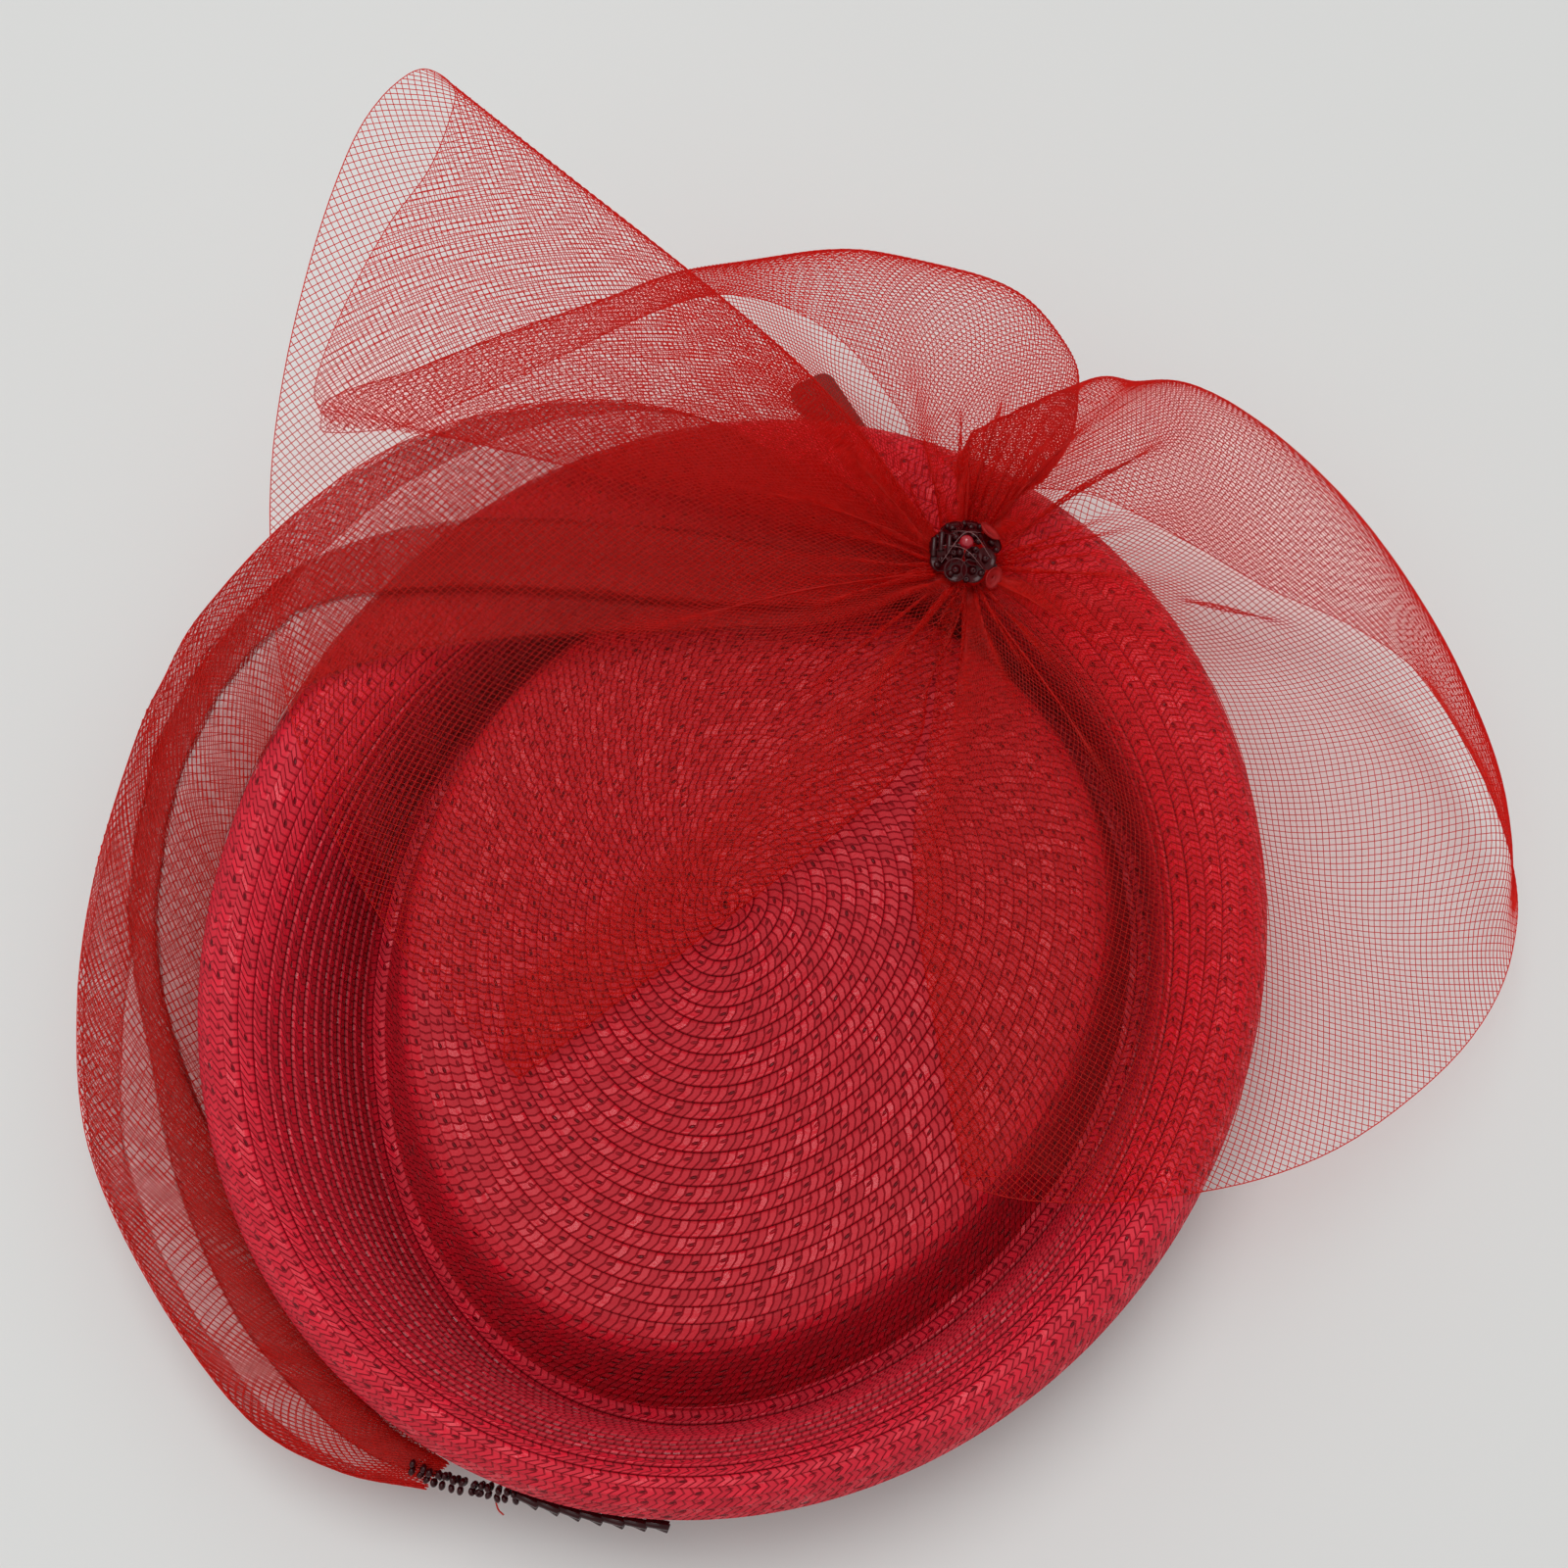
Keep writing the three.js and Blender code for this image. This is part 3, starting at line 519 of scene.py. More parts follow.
def braid_piece(name, rings, pitch, step, period, section, chevron):
    """A long braid wound in a spiral over the ovals: rows of sections, pitch apart.
    step is the distance from section to section along the braid."""
    rings = np.array(rings, float)
    fine = np.linspace(0, 1, PROFILE_STEPS)
    table = spline(rings, fine)
    mean = (table[:, 2] + table[:, 3]) / 2
    run = lengths(np.stack([mean, table[:, 6], 0 * mean], -1))
    total = run[-1]
    turns = math.ceil(total / pitch) + 1
    angles = []
    for k in range(-1, turns):
        around = math.pi * np.interp((k + 1) * pitch, run, table[:, 2] + table[:, 3])
        n = max(int(around / step), FEWEST_STEPS)
        angles.append(TURN * (k + np.arange(n) / n))
    angle = np.concatenate([*angles, [TURN * turns]])
    share, height, plait = (np.array(c) for c in zip(*section))
    s = (angle[:, None] / TURN + share[None, :]) * pitch
    real = (s > 0) & (s < total)
    s = np.clip(s, 0, total)
    station = np.interp(s.ravel(), run, fine)
    theta = np.repeat(angle, len(share))
    base = oval_points(rings, station, theta).reshape(len(angle), len(share), 3)
    beside, before = (
        oval_points(rings, np.interp(np.clip(s.ravel() + to, 0, total), run, fine), theta)
        for to in (NUDGE["across"], -NUDGE["across"])
    )
    ahead = oval_points(rings, station, theta + NUDGE["round"])
    normal = unit(np.cross(beside - before, ahead - base.reshape(-1, 3))).reshape(base.shape)
    middle = len(share) // 2
    u = lengths(base[:, middle, :]) / period
    phase = np.mod(STRAWS * u[:, None] + chevron * np.abs(share - 0.5) + SLANT * (share - 0.5), 1)
    straw = np.sqrt(np.maximum(1 - (2 * phase - 1) ** 2, 0)) - 0.6
    from_slit = np.mod(u[:, None] + 0.5 * (share - 0.5), 1) - 0.5
    from_middle = (share - 0.4) / SLIT_HALF["across"]
    slit = np.exp(-((from_slit / SLIT_HALF["along"]) ** 2) - from_middle**2)
    wave = sum(high * np.sin(TURN * u[:, None] / wide) for high, wide in WAVES)
    relief = PLAIT_RELIEF["straw"] * straw - PLAIT_RELIEF["slit"] * slit
    lift = height + plait * relief + wave * plait
    points = base + normal * lift[..., None]
    uv = np.stack([np.repeat(u, len(share)), np.tile(share, len(angle))], -1)
    faces = grid_faces(len(angle), len(share))[:, ::-1]
    faces = faces[real.ravel()[faces].any(axis=1)]
    used, faces = np.unique(faces, return_inverse=True)
    return mesh_object(name, points.reshape(-1, 3)[used], faces.reshape(-1, 4), uv[used])


# Columns of a section, the outer side and the hollow side: share across the row, height, how
# much plait relief it takes.
SECTION = [
    (0.0, -0.1, 0), (0.08, 0.12, 0.3), (0.25, 0.26, 1), (0.42, 0.33, 1), (0.6, 0.42, 1),
    (0.78, 0.52, 0.5), (0.88, 0.72, 0), (0.96, 0.66, 0), (1.01, 0.05, 0),
]
UNDER_SECTION = [
    (0.0, -1.6, 0), (0.15, -1.75, 0.4), (0.5, -1.85, 0.4), (0.85, -1.8, 0.4), (1.0, -1.6, 0),
]
# Columns of a braid: name, rings, pitch, step along it, period, section, chevron, look, nodes.
BRAIDS = [
    ("straw_crown", CROWN_RINGS, 3.05, 1.05, 5.6, SECTION, 0.5, crown_material, ["crown"]),
    ("straw_crown_inside", CROWN_RINGS, 3.05, 5.0, 5.6, UNDER_SECTION, 0.5, crown_material, []),
    ("straw_brim", BRIM_RINGS, 3.5, 1.25, 5.4, SECTION, 1.6, brim_material, ["brim"]),
    ("straw_brim_inside", BRIM_RINGS, 3.5, 5.0, 5.4, UNDER_SECTION, 1.6, brim_material, []),
]
for name, rings, pitch, step, period, section, chevron, material, nodes in BRAIDS:
    piece = braid_piece(name, rings, pitch, step, period, section, chevron)
    settle(piece, "straw", material, *nodes)


# ---- crinoline net -------------------------------------------------------------------------
def even(grid, columns):
    """The same rows, each with columns points evenly spaced along it."""
    run = lengths(grid)
    share = np.linspace(0, 1, columns)
    out = np.empty((len(grid), columns, 3))
    for i, row in enumerate(grid):
        at = run[i] / run[i][-1]
        for c in range(3):
            out[i, :, c] = np.interp(share, at, row[:, c])
    return out


RISE_AT = 0.45  # of the way from the knot to a spoke's crest, where its bulge is


def fan_grid(table, along=80):
    """The ribbon's surface: a row of points along each spoke, from the knot outwards."""
    rows = spline(table, np.linspace(0, 1, GRID * len(table)))
    root_z, root, bulge, crest_at, crest, crest_z, edge_at, edge, edge_z = rows.T
    start = polar(root, ROOT_REACH, root_z)
    top = polar(crest_at, crest, crest_z)
    rise = start + RISE_AT * (top - start)
    rise[:, 2] += bulge
    points = np.stack([start, rise, top, polar(edge_at, edge, edge_z)], axis=1)
    weights = spline(np.eye(4), np.linspace(0, 1, along))
    grid = even(np.einsum("tk,ukc->utc", weights, points), along)
    return grid + gathers(grid, root)


# Columns of the gathers, fine and broad: degrees from pleat to pleat, how far that sways, over how
# many degrees, shift for each row of the table, where they are full and where they have died
# away, rise, drift, start of the drift's wave.
GATHERS = [
    (8.5, 6, 11, 3, 4, 42, 1.4, 0.8, 0),
    (27, 9, 23, 0, 12, 95, 1.5, 1.2, 1),
]


def gathers(grid, root):
    """Fine and broad pleats that run out from the knot and die away."""
    from_knot = lengths(grid)
    row = np.arange(len(grid))[:, None] / GRID
    root = root[:, None]
    from_middle = grid - [KNOT["x"], KNOT["y"], 0]
    around = unit(np.stack([-from_middle[..., 1], from_middle[..., 0], 0 * from_knot], -1))
    rise, drift = 0 * from_knot, 0 * from_knot
    for apart, sway, over, shift, full, gone, high, wide, start in GATHERS:
        wave = TURN * (root + sway * np.sin(root / over) + shift * row) / apart
        share = smooth(from_knot / full) * (1 - smooth(from_knot / gone))
        rise += high * np.sin(wave) * share
        drift += wide * np.cos(wave + start) * share
    return around * drift[..., None] + [0, 0, 1] * rise[..., None]


def normals_of(grid):
    """The way that the surface faces at every point of its grid."""
    return unit(np.cross(np.gradient(grid, axis=0), np.gradient(grid, axis=1)))


def sample(grid, i, j):
    """Bilinear: i and j are fractional indices into the grid."""
    i = np.clip(i, 0, len(grid) - 1.001)
    j = np.clip(j, 0, grid.shape[1] - 1.001)
    a, b = i.astype(int), j.astype(int)
    f, g = (i - a)[:, None], (j - b)[:, None]
    return (grid[a, b] * (1 - f) * (1 - g) + grid[a + 1, b] * f * (1 - g)
            + grid[a, b + 1] * (1 - f) * g + grid[a + 1, b + 1] * f * g)


class Tubes:
    """Many thin three-sided strands joined in one mesh."""

    CORNERS = ((1, 0), (-0.5, 0.866), (-0.5, -0.866))  # up, sideways

    def __init__(self):
        self.points, self.faces, self.count = [], [], 0

    def add(self, line, normal, radius):
        n = len(line)
        if n < 2:
            return
        along = unit(np.gradient(line, axis=0))
        side = unit(np.cross(along, normal))
        up = unit(np.cross(side, along))
        corners = [high * up + wide * side for high, wide in self.CORNERS]
        self.points.append((line[:, None, :] + radius * np.stack(corners, 1)).reshape(-1, 3))
        k = self.count + 3 * np.arange(n - 1)[:, None]
        for a, b in ((0, 1), (1, 2), (2, 0)):
            self.faces.append(np.concatenate([k + a, k + b, k + 3 + b, k + 3 + a], axis=1))
        self.count += 3 * n

    def piece(self, name):
        return mesh_object(name, np.concatenate(self.points), np.concatenate(self.faces))


def thinned(line, turn=0.13, longest=8.0):
    """Drops the points of a line that its bends don't need."""
    steps = np.diff(line, axis=0)
    bend = np.linalg.norm(np.diff(unit(steps), axis=0), axis=1)
    cost = np.cumsum(bend / turn + np.linalg.norm(steps[1:], axis=1) / longest)
    keep = np.flatnonzero(np.diff(np.floor(cost), prepend=0)) + 1
    return np.unique(np.concatenate([[0], keep, [len(line) - 1]]))


# A pinch deepens over so many millimetres, and fades over this share of its length.
PINCH_OPENS, PINCH_FADES = 8, 0.7


def pinched(i, b, pinches):
    """Where a strand's point goes once the ribbon is folded over at its pinches."""
    lift = np.zeros(len(b))
    for row, half, start, end, depth, height in pinches:
        x = (i / GRID - row) / half
        opens = smooth((b - start) / PINCH_OPENS)
        along = opens * smooth((end - b) / (PINCH_FADES * (end - start)))
        fold = np.exp(-x * x) * along
        i = i - depth * half * GRID * x * fold
        lift += height * fold
    return i, lift


APART = 0.6  # of a strand's radius, from the ribbon's middle to either family of strands
SELVEDGE = 1.2  # of a strand's radius, the strand along a selvedge


def net_strands(
    name, grid, width, pinches=(), step=1.7, span=(0.0, 1.0), stretch=1.0, radius=STRAND
):
    """Two families of strands on the bias of the ribbon whose surface is grid, for the span of
    its length that is wanted. stretch is how far its cells are pulled out lengthwise."""
    normal = normals_of(grid)
    outer = lengths(grid[:, -1, :])
    widest = lengths(grid[:, int(0.7 * grid.shape[1]), :])
    run = (outer if outer[-1] > widest[-1] else widest) / stretch
    low, high = (np.interp(share, np.linspace(0, 1, len(run)), run) for share in span)
    index = np.arange(len(grid))
    tubes = Tubes()
    diagonal = CELL * math.sqrt(2)
    for lean in (1, -1):
        first = -width if lean > 0 else 0
        for c in np.arange(first, first + run[-1] + width, diagonal):
            b = np.linspace(0, width, int(width * 1.414 / step) + 1)
            a = c + lean * b
            inside = (a >= low) & (a <= high)
            if inside.sum() < 3:
                continue
            a, b = a[inside], b[inside]
            i, lift = pinched(np.interp(a, run, index), b, pinches)
            j = b / width * (grid.shape[1] - 1)
            line, up = sample(grid, i, j), unit(sample(normal, i, j))
            line = line + lean * APART * radius * up + lift[:, None] * [0, 0, 1]
            keep = thinned(line)
            tubes.add(line[keep], up[keep], radius)
    rows = slice(int(span[0] * (len(grid) - 1)), int(span[1] * (len(grid) - 1)) + 1)
    for column in (0, -1):
        line, up = grid[rows, column, :], normal[rows, column, :]
        keep = thinned(line)
        tubes.add(line[keep], up[keep], radius * SELVEDGE)
    return tubes.piece(name)


def film(name, grid, every=(6, 4)):
    """The ribbon's surface as one thin sheet, from every so many rows and columns of grid."""
    coarse = grid[:: every[0], :: every[1]]
    return mesh_object(name, coarse.reshape(-1, 3), grid_faces(*coarse.shape[:2]))


# Points of the sweep's section: share of the way over, and share of its bulge or tuck there.
SHOULDER = dict(over=0.86, bulge=0.5)
BENEATH = dict(over=0.3, tuck=0.6)


def sweep_grid(stations=240):
    """Control points of the sweep's upper and lower surface at each station along it."""
    rows = spline(SWEEP, np.linspace(0, 1, stations))
    inner, outer = rows[:, 0:3], rows[:, 3:6]
    bulge, back, tuck, first, second = rows[:, 6:].T
    wide = np.linalg.norm(outer - inner, axis=1)
    turned = outer + (inner - outer) * (back / wide)[:, None]
    turned[:, 2] = outer[:, 2] - tuck
    crown = (inner + outer) / 2
    crown[:, 2] += bulge
    shoulder = inner + SHOULDER["over"] * (outer - inner)
    shoulder[:, 2] += SHOULDER["bulge"] * bulge
    beneath = outer + BENEATH["over"] * (turned - outer)
    beneath[:, 2] = outer[:, 2] - BENEATH["tuck"] * tuck
    upper = np.stack([inner, crown, shoulder, outer], 1)
    lower = np.stack([outer, beneath, turned], 1)
    return upper, lower, first, second


def sweep_top(upper, shares):
    """Points of the upper surface at a share of the width for every station."""
    out = np.empty(shares.shape + (3,))
    for i in range(len(upper)):
        out[i] = spline(upper[i], shares[i])
    return out


def under_points(lower, count):
    """Points over the lower surface for every station, past the edge where it starts."""
    return np.einsum("tk,ukc->utc", spline(np.eye(3), np.linspace(0, 1, count))[1:], lower)


def sweep_flat_grid():
    """The sweep without its pleats, which is the sheet that is declared."""
    upper, lower, _, _ = sweep_grid()
    shares = np.tile(np.linspace(0, 1, 20), (len(upper), 1))
    top = sweep_top(upper, shares)
    return np.concatenate([top, under_points(lower, 7)], axis=1)


LAYER = 0.6  # from one layer of the sweep's pleat to the next
# Points of the sweep from its edge in to the brim, to and fro over the pleat, and out again.
SWEEP_COUNTS = [18, 7, 5, 5, 5, 18]


def sweep_pleated_grid():
    """The sweep as the net lies: doubled at its edge, with a lengthwise pleat of three layers."""
    upper, lower, first, second = sweep_grid()
    none, whole = 0 * first, 1 + 0 * first
    stops = [whole, none, second, first, second, first, whole]
    shares, lifts = [], []
    for level, (start, end, count) in enumerate(zip(stops, stops[1:], SWEEP_COUNTS)):
        f = np.linspace(0, 1, count + 1)[1 if shares else 0:]
        share = start[:, None] + (end - start)[:, None] * f
        lift = np.full(share.shape, level * LAYER)
        if level == len(SWEEP_COUNTS) - 1:
            past = (share - first[:, None]) / (second - first + 0.15)[:, None]
            lift = LAYER + (lift - LAYER) * (1 - smooth(past))
        elif level > 0:
            lift = lift - LAYER * (1 - smooth(f))
        shares.append(share)
        lifts.append(lift)
    share, lift = np.concatenate(shares, 1), np.concatenate(lifts, 1)
    top = sweep_top(upper, share)
    top[..., 2] += lift
    under = under_points(lower, 8)
    again = under[:, -2::-1] - [0, 0, LAYER]
    return even(np.concatenate([top, under, again], axis=1), 104)


# The left ribbon is built in two spans, cut between two strands, so that neither mesh is large.
SPANS = {
    "net_left": [("net_left_strands", 0.0, LOOP_STARTS, ("net_fan_left", "net_fan_left_under")),
                 ("net_back_strands", LOOP_STARTS, 1.0, ("net_loop_back",))],
    "net_right": [("net_right_strands", 0.0, 1.0, ("net_fan_right",))],
}
for name, table in RIBBONS.items():
    grid = fan_grid(table)
    strands = []
    for part, start, end, nodes in SPANS[name]:
        piece = net_strands(part, grid, RIBBON, PINCHES[name], span=(start, end))
        strands.append(settle(piece, "net", net_material, *nodes))
    cloth = settle(film(f"{name}_film", grid), "net", film_material)

pleated = sweep_pleated_grid()
strands = net_strands(
    "net_sweep_strands", pleated, RIBBON, stretch=SWEEP_STRETCH, radius=SWEEP_STRAND
)
settle(strands, "net", net_material, "net_sweep")
veil = settle(film("net_sweep_veil", pleated, (8, 1)), "net", veil_material)
flat_grid = sweep_flat_grid()
cloth = settle(film("net_sweep_film", flat_grid, (6, 2)), "net", film_material)


# ---- trims ---------------------------------------------------------------------------------
BALL_SIDES, SEQUIN_SIDES, BUGLE_SIDES = 12, 16, 10
BEVEL = 0.15  # at the ends of a bugle


class Solids:
    """Small closed solids joined in one mesh."""

    def __init__(self):
        self.points, self.faces, self.count = [], [], 0

    def add(self, points, faces):
        self.points.append(points)
        self.faces.append(faces + self.count)
        self.count += len(points)

    def turned(self, profile, sides, centre, axis, closed=False):
        """Turns a profile of (radius, along) round an axis through centre."""
        axis = unit(np.array(axis, float))
        side = unit(np.cross(axis, [0.31, 0.52, 0.79]))
        other = np.cross(axis, side)
        around = TURN * np.arange(sides) / sides
        ring = np.cos(around)[:, None] * side + np.sin(around)[:, None] * other
        points = [centre + r * ring + z * axis for r, z in profile]
        self.add(np.concatenate(points), ring_faces(len(profile), sides, closed))

    def ball(self, centre, radius, axis, hole=0.25, flat=0.85):
        """A bead with a hole along its axis, flattened along it too; hole is a share of radius."""
        turn = np.linspace(math.asin(hole), math.pi - math.asin(hole), 8)
        outer = [(radius * math.sin(t), radius * flat * math.cos(t)) for t in turn]
        self.turned(outer, BALL_SIDES, centre, axis, closed=True)

    def bugle(self, centre, axis, length, radius):
        """A short tube bead with bevelled ends."""
        half = length / 2
        profile = [
            (radius * 0.45, -half), (radius * 0.9, -half), (radius, -half + BEVEL),
            (radius, half - BEVEL), (radius * 0.9, half), (radius * 0.45, half),
        ]
        self.turned(profile, BUGLE_SIDES, centre, axis, closed=True)

    def piece(self, name):
        return mesh_object(name, np.concatenate(self.points), np.concatenate(self.faces))


KNOT_PLEATS = dict(count=20, depth=0.07)  # depth as a share of the knot's radius


def knot_piece():
    """The stitched middle of the ribbon: a bundle of pleats."""
    heights = np.linspace(0, 1, 14)
    around = np.linspace(0, TURN, 161)[:-1]
    swell = np.sin(math.pi * (0.12 + 0.8 * heights)) ** 0.6
    wave = KNOT_PLEATS["count"] * around + 1.3 * np.sin(3 * around)
    pleat = 1 - KNOT_PLEATS["depth"] * (0.5 + 0.5 * np.cos(wave))
    radius = KNOT["radius"] * swell[:, None] * pleat[None, :]
    z = KNOT["bottom"] + (KNOT["top"] - KNOT["bottom"]) * heights[:, None] + 0 * radius
    x = KNOT["x"] + radius * np.cos(around)
    y = KNOT["y"] + radius * np.sin(around)
    points = np.stack([x, y, z], -1).reshape(-1, 3)
    return mesh_object("net_knot", points, ring_faces(len(heights), len(around)))


settle(knot_piece(), "net", net_material, "gather_knot")

FLOWER_AT = np.array([KNOT["x"], KNOT["y"], KNOT["top"] + 0.3])


def around_flower(turn, reach, z):
    """A point from the flower's middle: degrees from +X, distance and height."""
    t = math.radians(turn)
    return FLOWER_AT + [reach * math.cos(t), reach * math.sin(t), z]


# Columns of a sequin: turn, reach, height, radius, how far it leans out.
SEQUINS = [
    (15, 5.6, 1.3, 2.7, 0.7),
    (75, 5.3, 1.1, 2.8, 0.6),
    (118, 5.4, 1.4, 2.7, 0.7),
    (160, 5.6, 0.8, 2.6, 0.8),
    (205, 5.5, 1.0, 2.8, 0.7),
    (246, 5.4, 1.4, 2.7, 0.7),
    (285, 5.2, 1.2, 2.8, 0.6),
    (325, 4.8, 2.0, 2.6, 0.5),
    (50, 2.9, 2.7, 2.3, 0.5),
    (135, 2.8, 2.9, 2.2, 0.6),
    (215, 2.9, 2.7, 2.3, 0.5),
    (300, 2.8, 2.9, 2.2, 0.6),
]
BRIGHT_SEQUINS = [
    (35, 6.2, 2.5, 2.7, 1.1),
    (316, 8.0, -0.6, 2.6, 2.0),
]
SEQUIN_CUP = [
    (0.13, 0.1), (0.5, 0.02), (0.84, 0.14), (1.0, 0.32),
    (1.0, 0.4), (0.84, 0.24), (0.5, 0.12), (0.13, 0.2),
]
SEED = 0.85  # radius of a seed bead
# Columns of a ring of loose seeds: degrees from seed to seed, turn of the first, reach and its
# spread, height and its spread, size in seeds.
SEED_RINGS = [
    (45, 10, 2.6, (-0.2, 0.3), 4.2, (-0.3, 0.3), 1.0),
    (30, 0, 7.2, (-0.5, 0.4), 1.0, (-0.4, 0.5), 0.95),
]
PEARL = dict(height=5.0, radius=1.65)  # the red bead in the middle
BUGLE = dict(length=4.4, radius=0.75, axis=(0.06, 1, 0.25))
BUGLES = [(-7.0, 0.6, 1.6), (-5.3, 1.6, 2.4), (-3.7, 0.2, 3.4)]
# The clear thread that holds the flower: where each stitch starts, its top and where it ends.
STITCHES = [
    ((-5.5, -3.5, 2.0), (-1.0, 0.5, 7.6), (3.5, 3.6, 3.0)),
    ((-3.0, 4.5, 2.2), (1.5, 1.0, 6.8), (5.6, -2.5, 2.2)),
    ((-6.0, 1.0, 2.0), (-0.5, -2.5, 6.2), (4.5, -5.5, 1.2)),
]


def sequin_axis(turn, lean):
    """Up, and leaning outwards from the flower's middle."""
    t = math.radians(turn)
    return unit(np.array([lean * math.cos(t), lean * math.sin(t), 1.0]))


def sequin(solids, turn, reach, height, radius, lean):
    """A cupped sequin that opens along its axis."""
    profile = [(radius * r, radius * z) for r, z in SEQUIN_CUP]
    centre, axis = around_flower(turn, reach, height), sequin_axis(turn, lean)
    solids.turned(profile, SEQUIN_SIDES, centre, axis, closed=True)


def flower_pieces():
    """Cupped sequins with a seed in each, two rings of loose seeds, bugles and stitches."""
    beads, sequins, bright, thread = Solids(), Solids(), Solids(), Tubes()
    for turn, reach, height, radius, lean in SEQUINS:
        sequin(sequins, turn, reach, height, radius, lean)
        axis = sequin_axis(turn, lean)
        beads.ball(around_flower(turn, reach, height) + 1.0 * axis, SEED, axis)
    for row in BRIGHT_SEQUINS:
        sequin(bright, *row)
    for apart, first, reach, nearer, height, higher, size in SEED_RINGS:
        for turn in range(0, 360, apart):
            spot = (reach + rng.uniform(*nearer), height + rng.uniform(*higher))
            beads.ball(around_flower(turn + first, *spot), SEED * size, rng.normal(size=3))
    for spot in BUGLES:
        beads.bugle(FLOWER_AT + spot, BUGLE["axis"], BUGLE["length"], BUGLE["radius"])
    for stitch in STITCHES:
        line = FLOWER_AT + spline(stitch, np.linspace(0, 1, 14))
        thread.add(line, np.tile([0.2, -0.4, 0.9], (14, 1)), 0.08)
    return beads, sequins, bright, thread


flower_beads, flower_sequins, flower_bright, flower_thread = flower_pieces()
settle(flower_beads.piece("flower_beads"), "dark_bead", bead_material, "bead_flower")
settle(flower_sequins.piece("flower_sequins"), "dark_bead", sequin_material)
settle(flower_bright.piece("flower_bright_sequins"), "red_pearl", bright_material)
settle(flower_thread.piece("flower_thread"), "net", thread_material)
pearl = Solids()
pearl_at = around_flower(0, 0, PEARL["height"])
pearl.ball(pearl_at, PEARL["radius"], (0.3, 1, 0), hole=0.12, flat=0.95)
settle(pearl.piece("flower_middle"), "red_pearl", pearl_material, "flower_pearl")

# The trim along the brim, as angles round its outline.
TRIM_FIRST, TRIM_BUGLES_FROM, TRIM_LAST = 173.3, 184.0, 199.0
TRIM_HANG = 3.6  # how far it hangs clear of the brim at its first bead
TRIM_SEED_STEP = 0.86
TRIM_SEED_ROWS = [(1.3, 22.9), (2.9, 24.2), (1.5, 25.9)]  # out from the brim, height
TRIM_BUGLE = dict(count=7, length=4.7, radius=0.95)
TRIM_BUGLES_AT = dict(out=1.9, z=24.0)
TRIM_BUGLE_ROWS = [(0.0, 0.32), (1.9, 0.12)]  # rise, lean outwards


def trim_spot(turn, out, z):
    """A point of the trim, which hangs clear of the brim where it starts."""
    row = np.array(BRIM_RINGS[-2], float)
    row[2:4] += out + TRIM_HANG * (1 - smooth((turn - TRIM_FIRST) / 12))
    point = oval_points([row, row], np.zeros(1), np.radians([turn]))[0]
    point[2] = z
    return point


def trim_piece():
    """Three rows of seeds, then two rows of bugles."""
    beads = Solids()
    for turn in np.arange(TRIM_FIRST, TRIM_BUGLES_FROM, TRIM_SEED_STEP):
        for out, z in TRIM_SEED_ROWS:
            centre = trim_spot(turn + rng.uniform(-0.2, 0.2), out + rng.uniform(-0.25, 0.25), z)
            tilt = trim_spot(turn + 1, out, z) - centre + rng.normal(size=3) * 0.6
            beads.ball(centre, rng.uniform(0.85, 1.0), tilt, hole=0.4, flat=0.7)
    for turn in np.linspace(TRIM_BUGLES_FROM + 1.0, TRIM_LAST - 1.0, TRIM_BUGLE["count"]):
        here, ahead = (trim_spot(turn + to, **TRIM_BUGLES_AT) for to in (0, 1))
        tangent, out = unit(ahead - here), unit(trim_spot(turn, 3, TRIM_BUGLES_AT["z"]) - here)
        for rise, lean in TRIM_BUGLE_ROWS:
            axis = tangent + lean * out + [0, 0, rng.uniform(-0.12, 0.12)]
            beads.bugle(here + [0, 0, rise], axis, TRIM_BUGLE["length"], TRIM_BUGLE["radius"])
    return beads.piece("trim_beads")


def loose_thread():
    """The red thread end that hangs off the trim."""
    hangs = [(-47.6, -119.0, 23.0), (-48.2, -120.6, 20.5), (-48.0, -122.4, 17.5), (-47.2, -123.4, 14.5)]
    line = spline(hangs, np.linspace(0, 1, 14))
    tubes = Tubes()
    tubes.add(line, np.tile([1.0, 0.0, 0.0], (14, 1)), 0.2)
    return tubes.piece("trim_thread")


settle(trim_piece(), "dark_bead", bead_material, "bead_trim")
settle(loose_thread(), "net", net_material)
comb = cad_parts["comb_bar"]
comb.data.materials.clear()
comb.data.materials.append(comb_material)


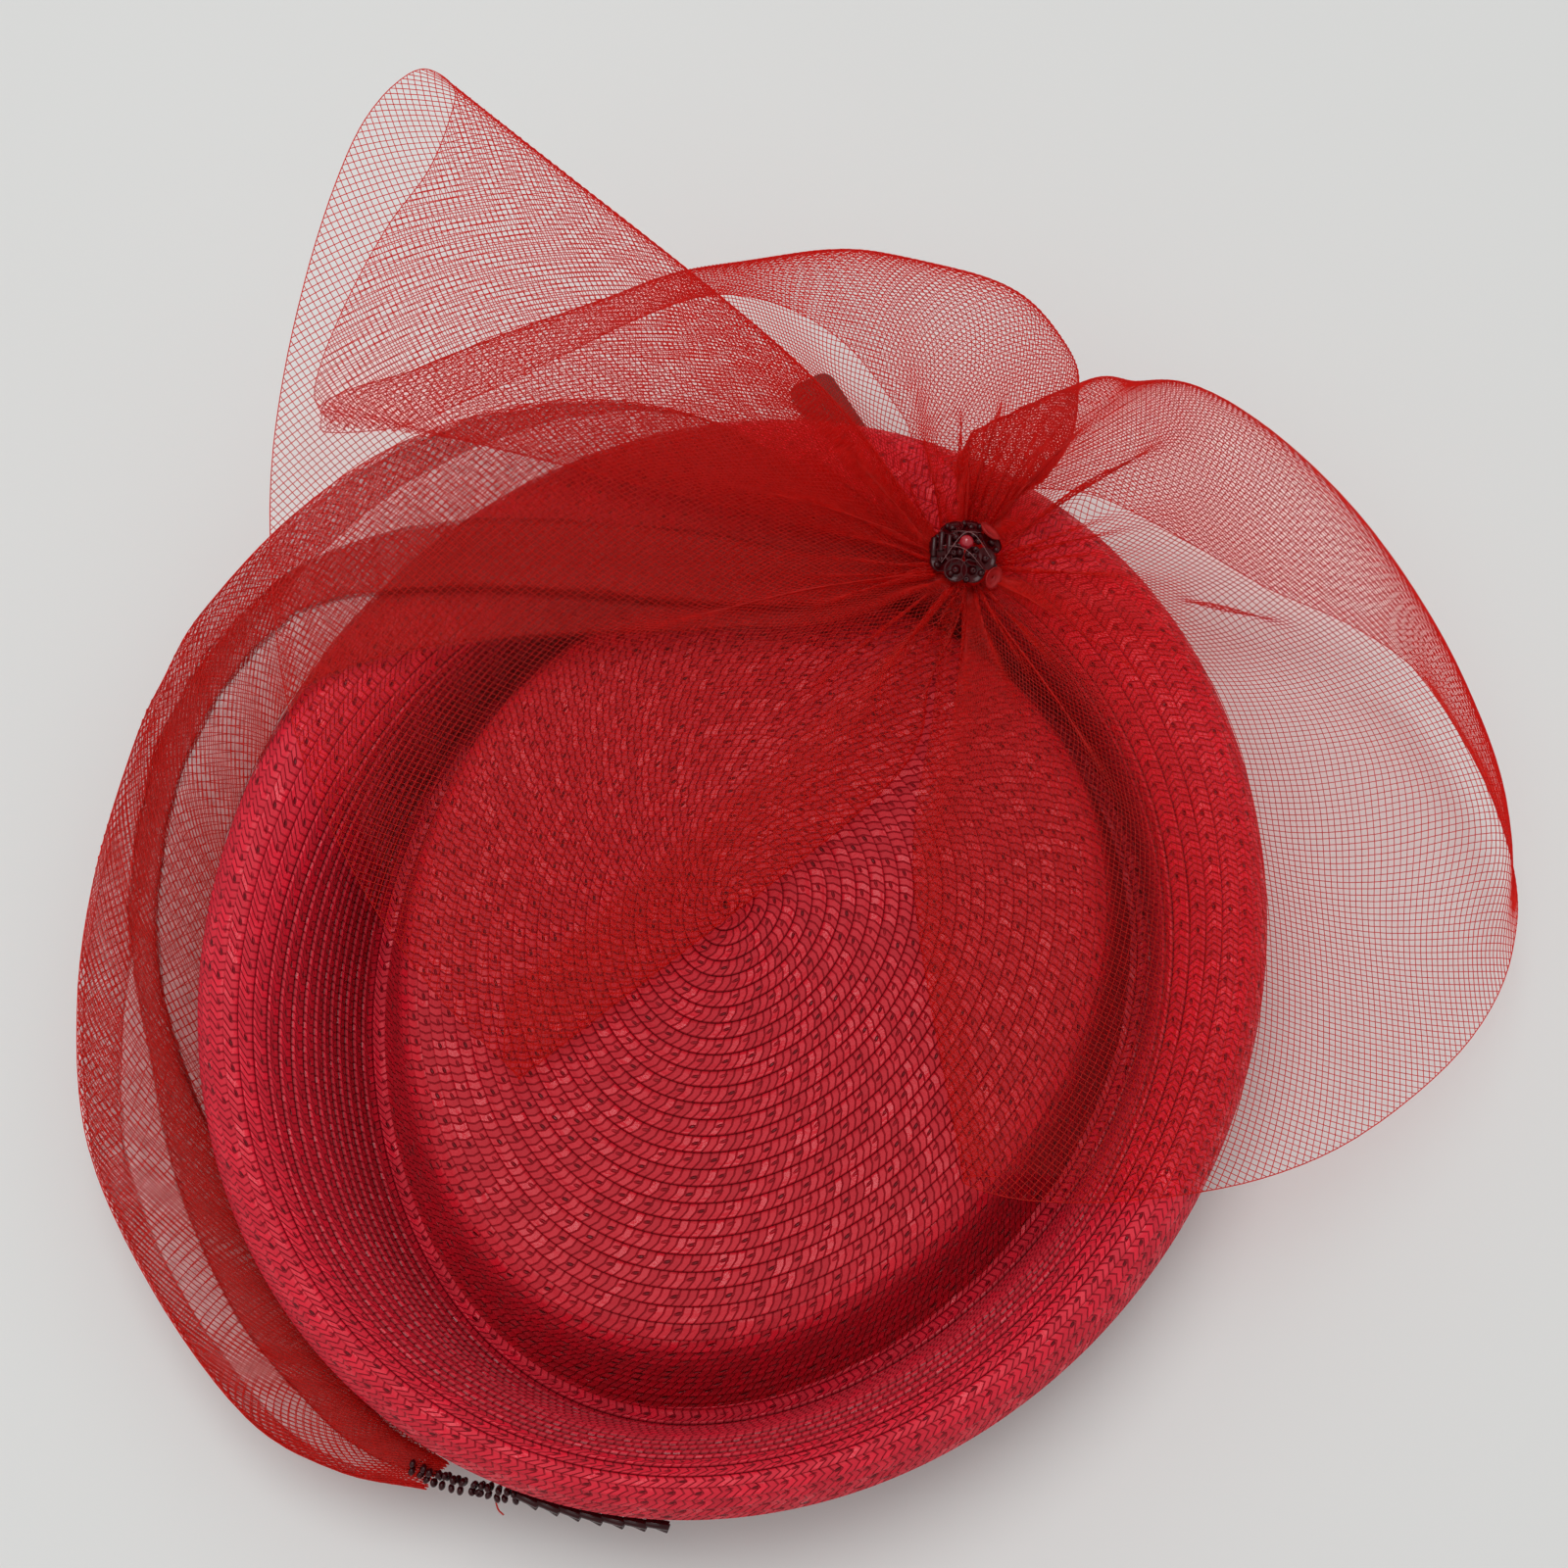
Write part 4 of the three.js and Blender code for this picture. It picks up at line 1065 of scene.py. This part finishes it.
# ---- floor, light and camera ---------------------------------------------------------------
def floor_piece(size=2.4):
    """The table top that the hat lies on, in metres."""
    half = size / 2
    corners = [(-half, -half, 0), (half, -half, 0), (half, half, 0), (-half, half, 0)]
    mesh = bpy.data.meshes.new("table")
    mesh.from_pydata(corners, [], [(0, 1, 2, 3)])
    piece = bpy.data.objects.new("table", mesh)
    bpy.context.scene.collection.objects.link(piece)
    look = Look("table paint", Roughness=0.6)
    patch = look.noise(3.0, 4.0)
    look.colour(look.mix(patch, (0.78, 0.79, 0.78, 1), (0.74, 0.74, 0.73, 1)))
    piece.data.materials.append(look.material)
    return piece


def area_light(name, at, aim, size, power):
    """A round soft light: its place, what it faces and its size in metres, its power in watts."""
    data = bpy.data.lights.new(name, "AREA")
    data.shape, data.size, data.energy = "DISK", size, power
    lamp = bpy.data.objects.new(name, data)
    lamp.location = at
    lamp.rotation_mode = "QUATERNION"
    lamp.rotation_quaternion = (Vector(aim) - Vector(at)).to_track_quat("-Z", "Y")
    bpy.context.scene.collection.objects.link(lamp)


def camera_at(offset, pitch, lens):
    """The photo's camera: offset from the hat's middle, degrees below level, focal length."""
    data = bpy.data.cameras.new("camera")
    data.lens, data.sensor_width = lens, 36.0
    data.clip_start, data.clip_end = 0.01, 10.0
    piece = bpy.data.objects.new("camera", data)
    piece.location = place(offset)
    piece.rotation_euler = (math.radians(90 - pitch), 0, 0)
    bpy.context.scene.collection.objects.link(piece)
    bpy.context.scene.camera = piece


floor_piece()
world = bpy.data.worlds.new("studio")
world.use_nodes = True
world.node_tree.nodes["Background"].inputs[0].default_value = (0.96, 0.965, 0.96, 1)
world.node_tree.nodes["Background"].inputs[1].default_value = 0.52
bpy.context.scene.world = world
UNDER_HAT = (0, 0, 0.02)  # what both lights face
area_light("key", (-0.2, 0.5, 2.3), UNDER_HAT, 1.5, 20.0)
area_light("fill", (-0.5, -0.9, 1.9), UNDER_HAT, 1.5, 4.5)
camera_at((9.51, -142.24, 437.08), 67.0, 45.0)
bpy.context.scene.view_settings.view_transform = "Standard"
bpy.context.scene.cycles.transparent_max_bounces = 32
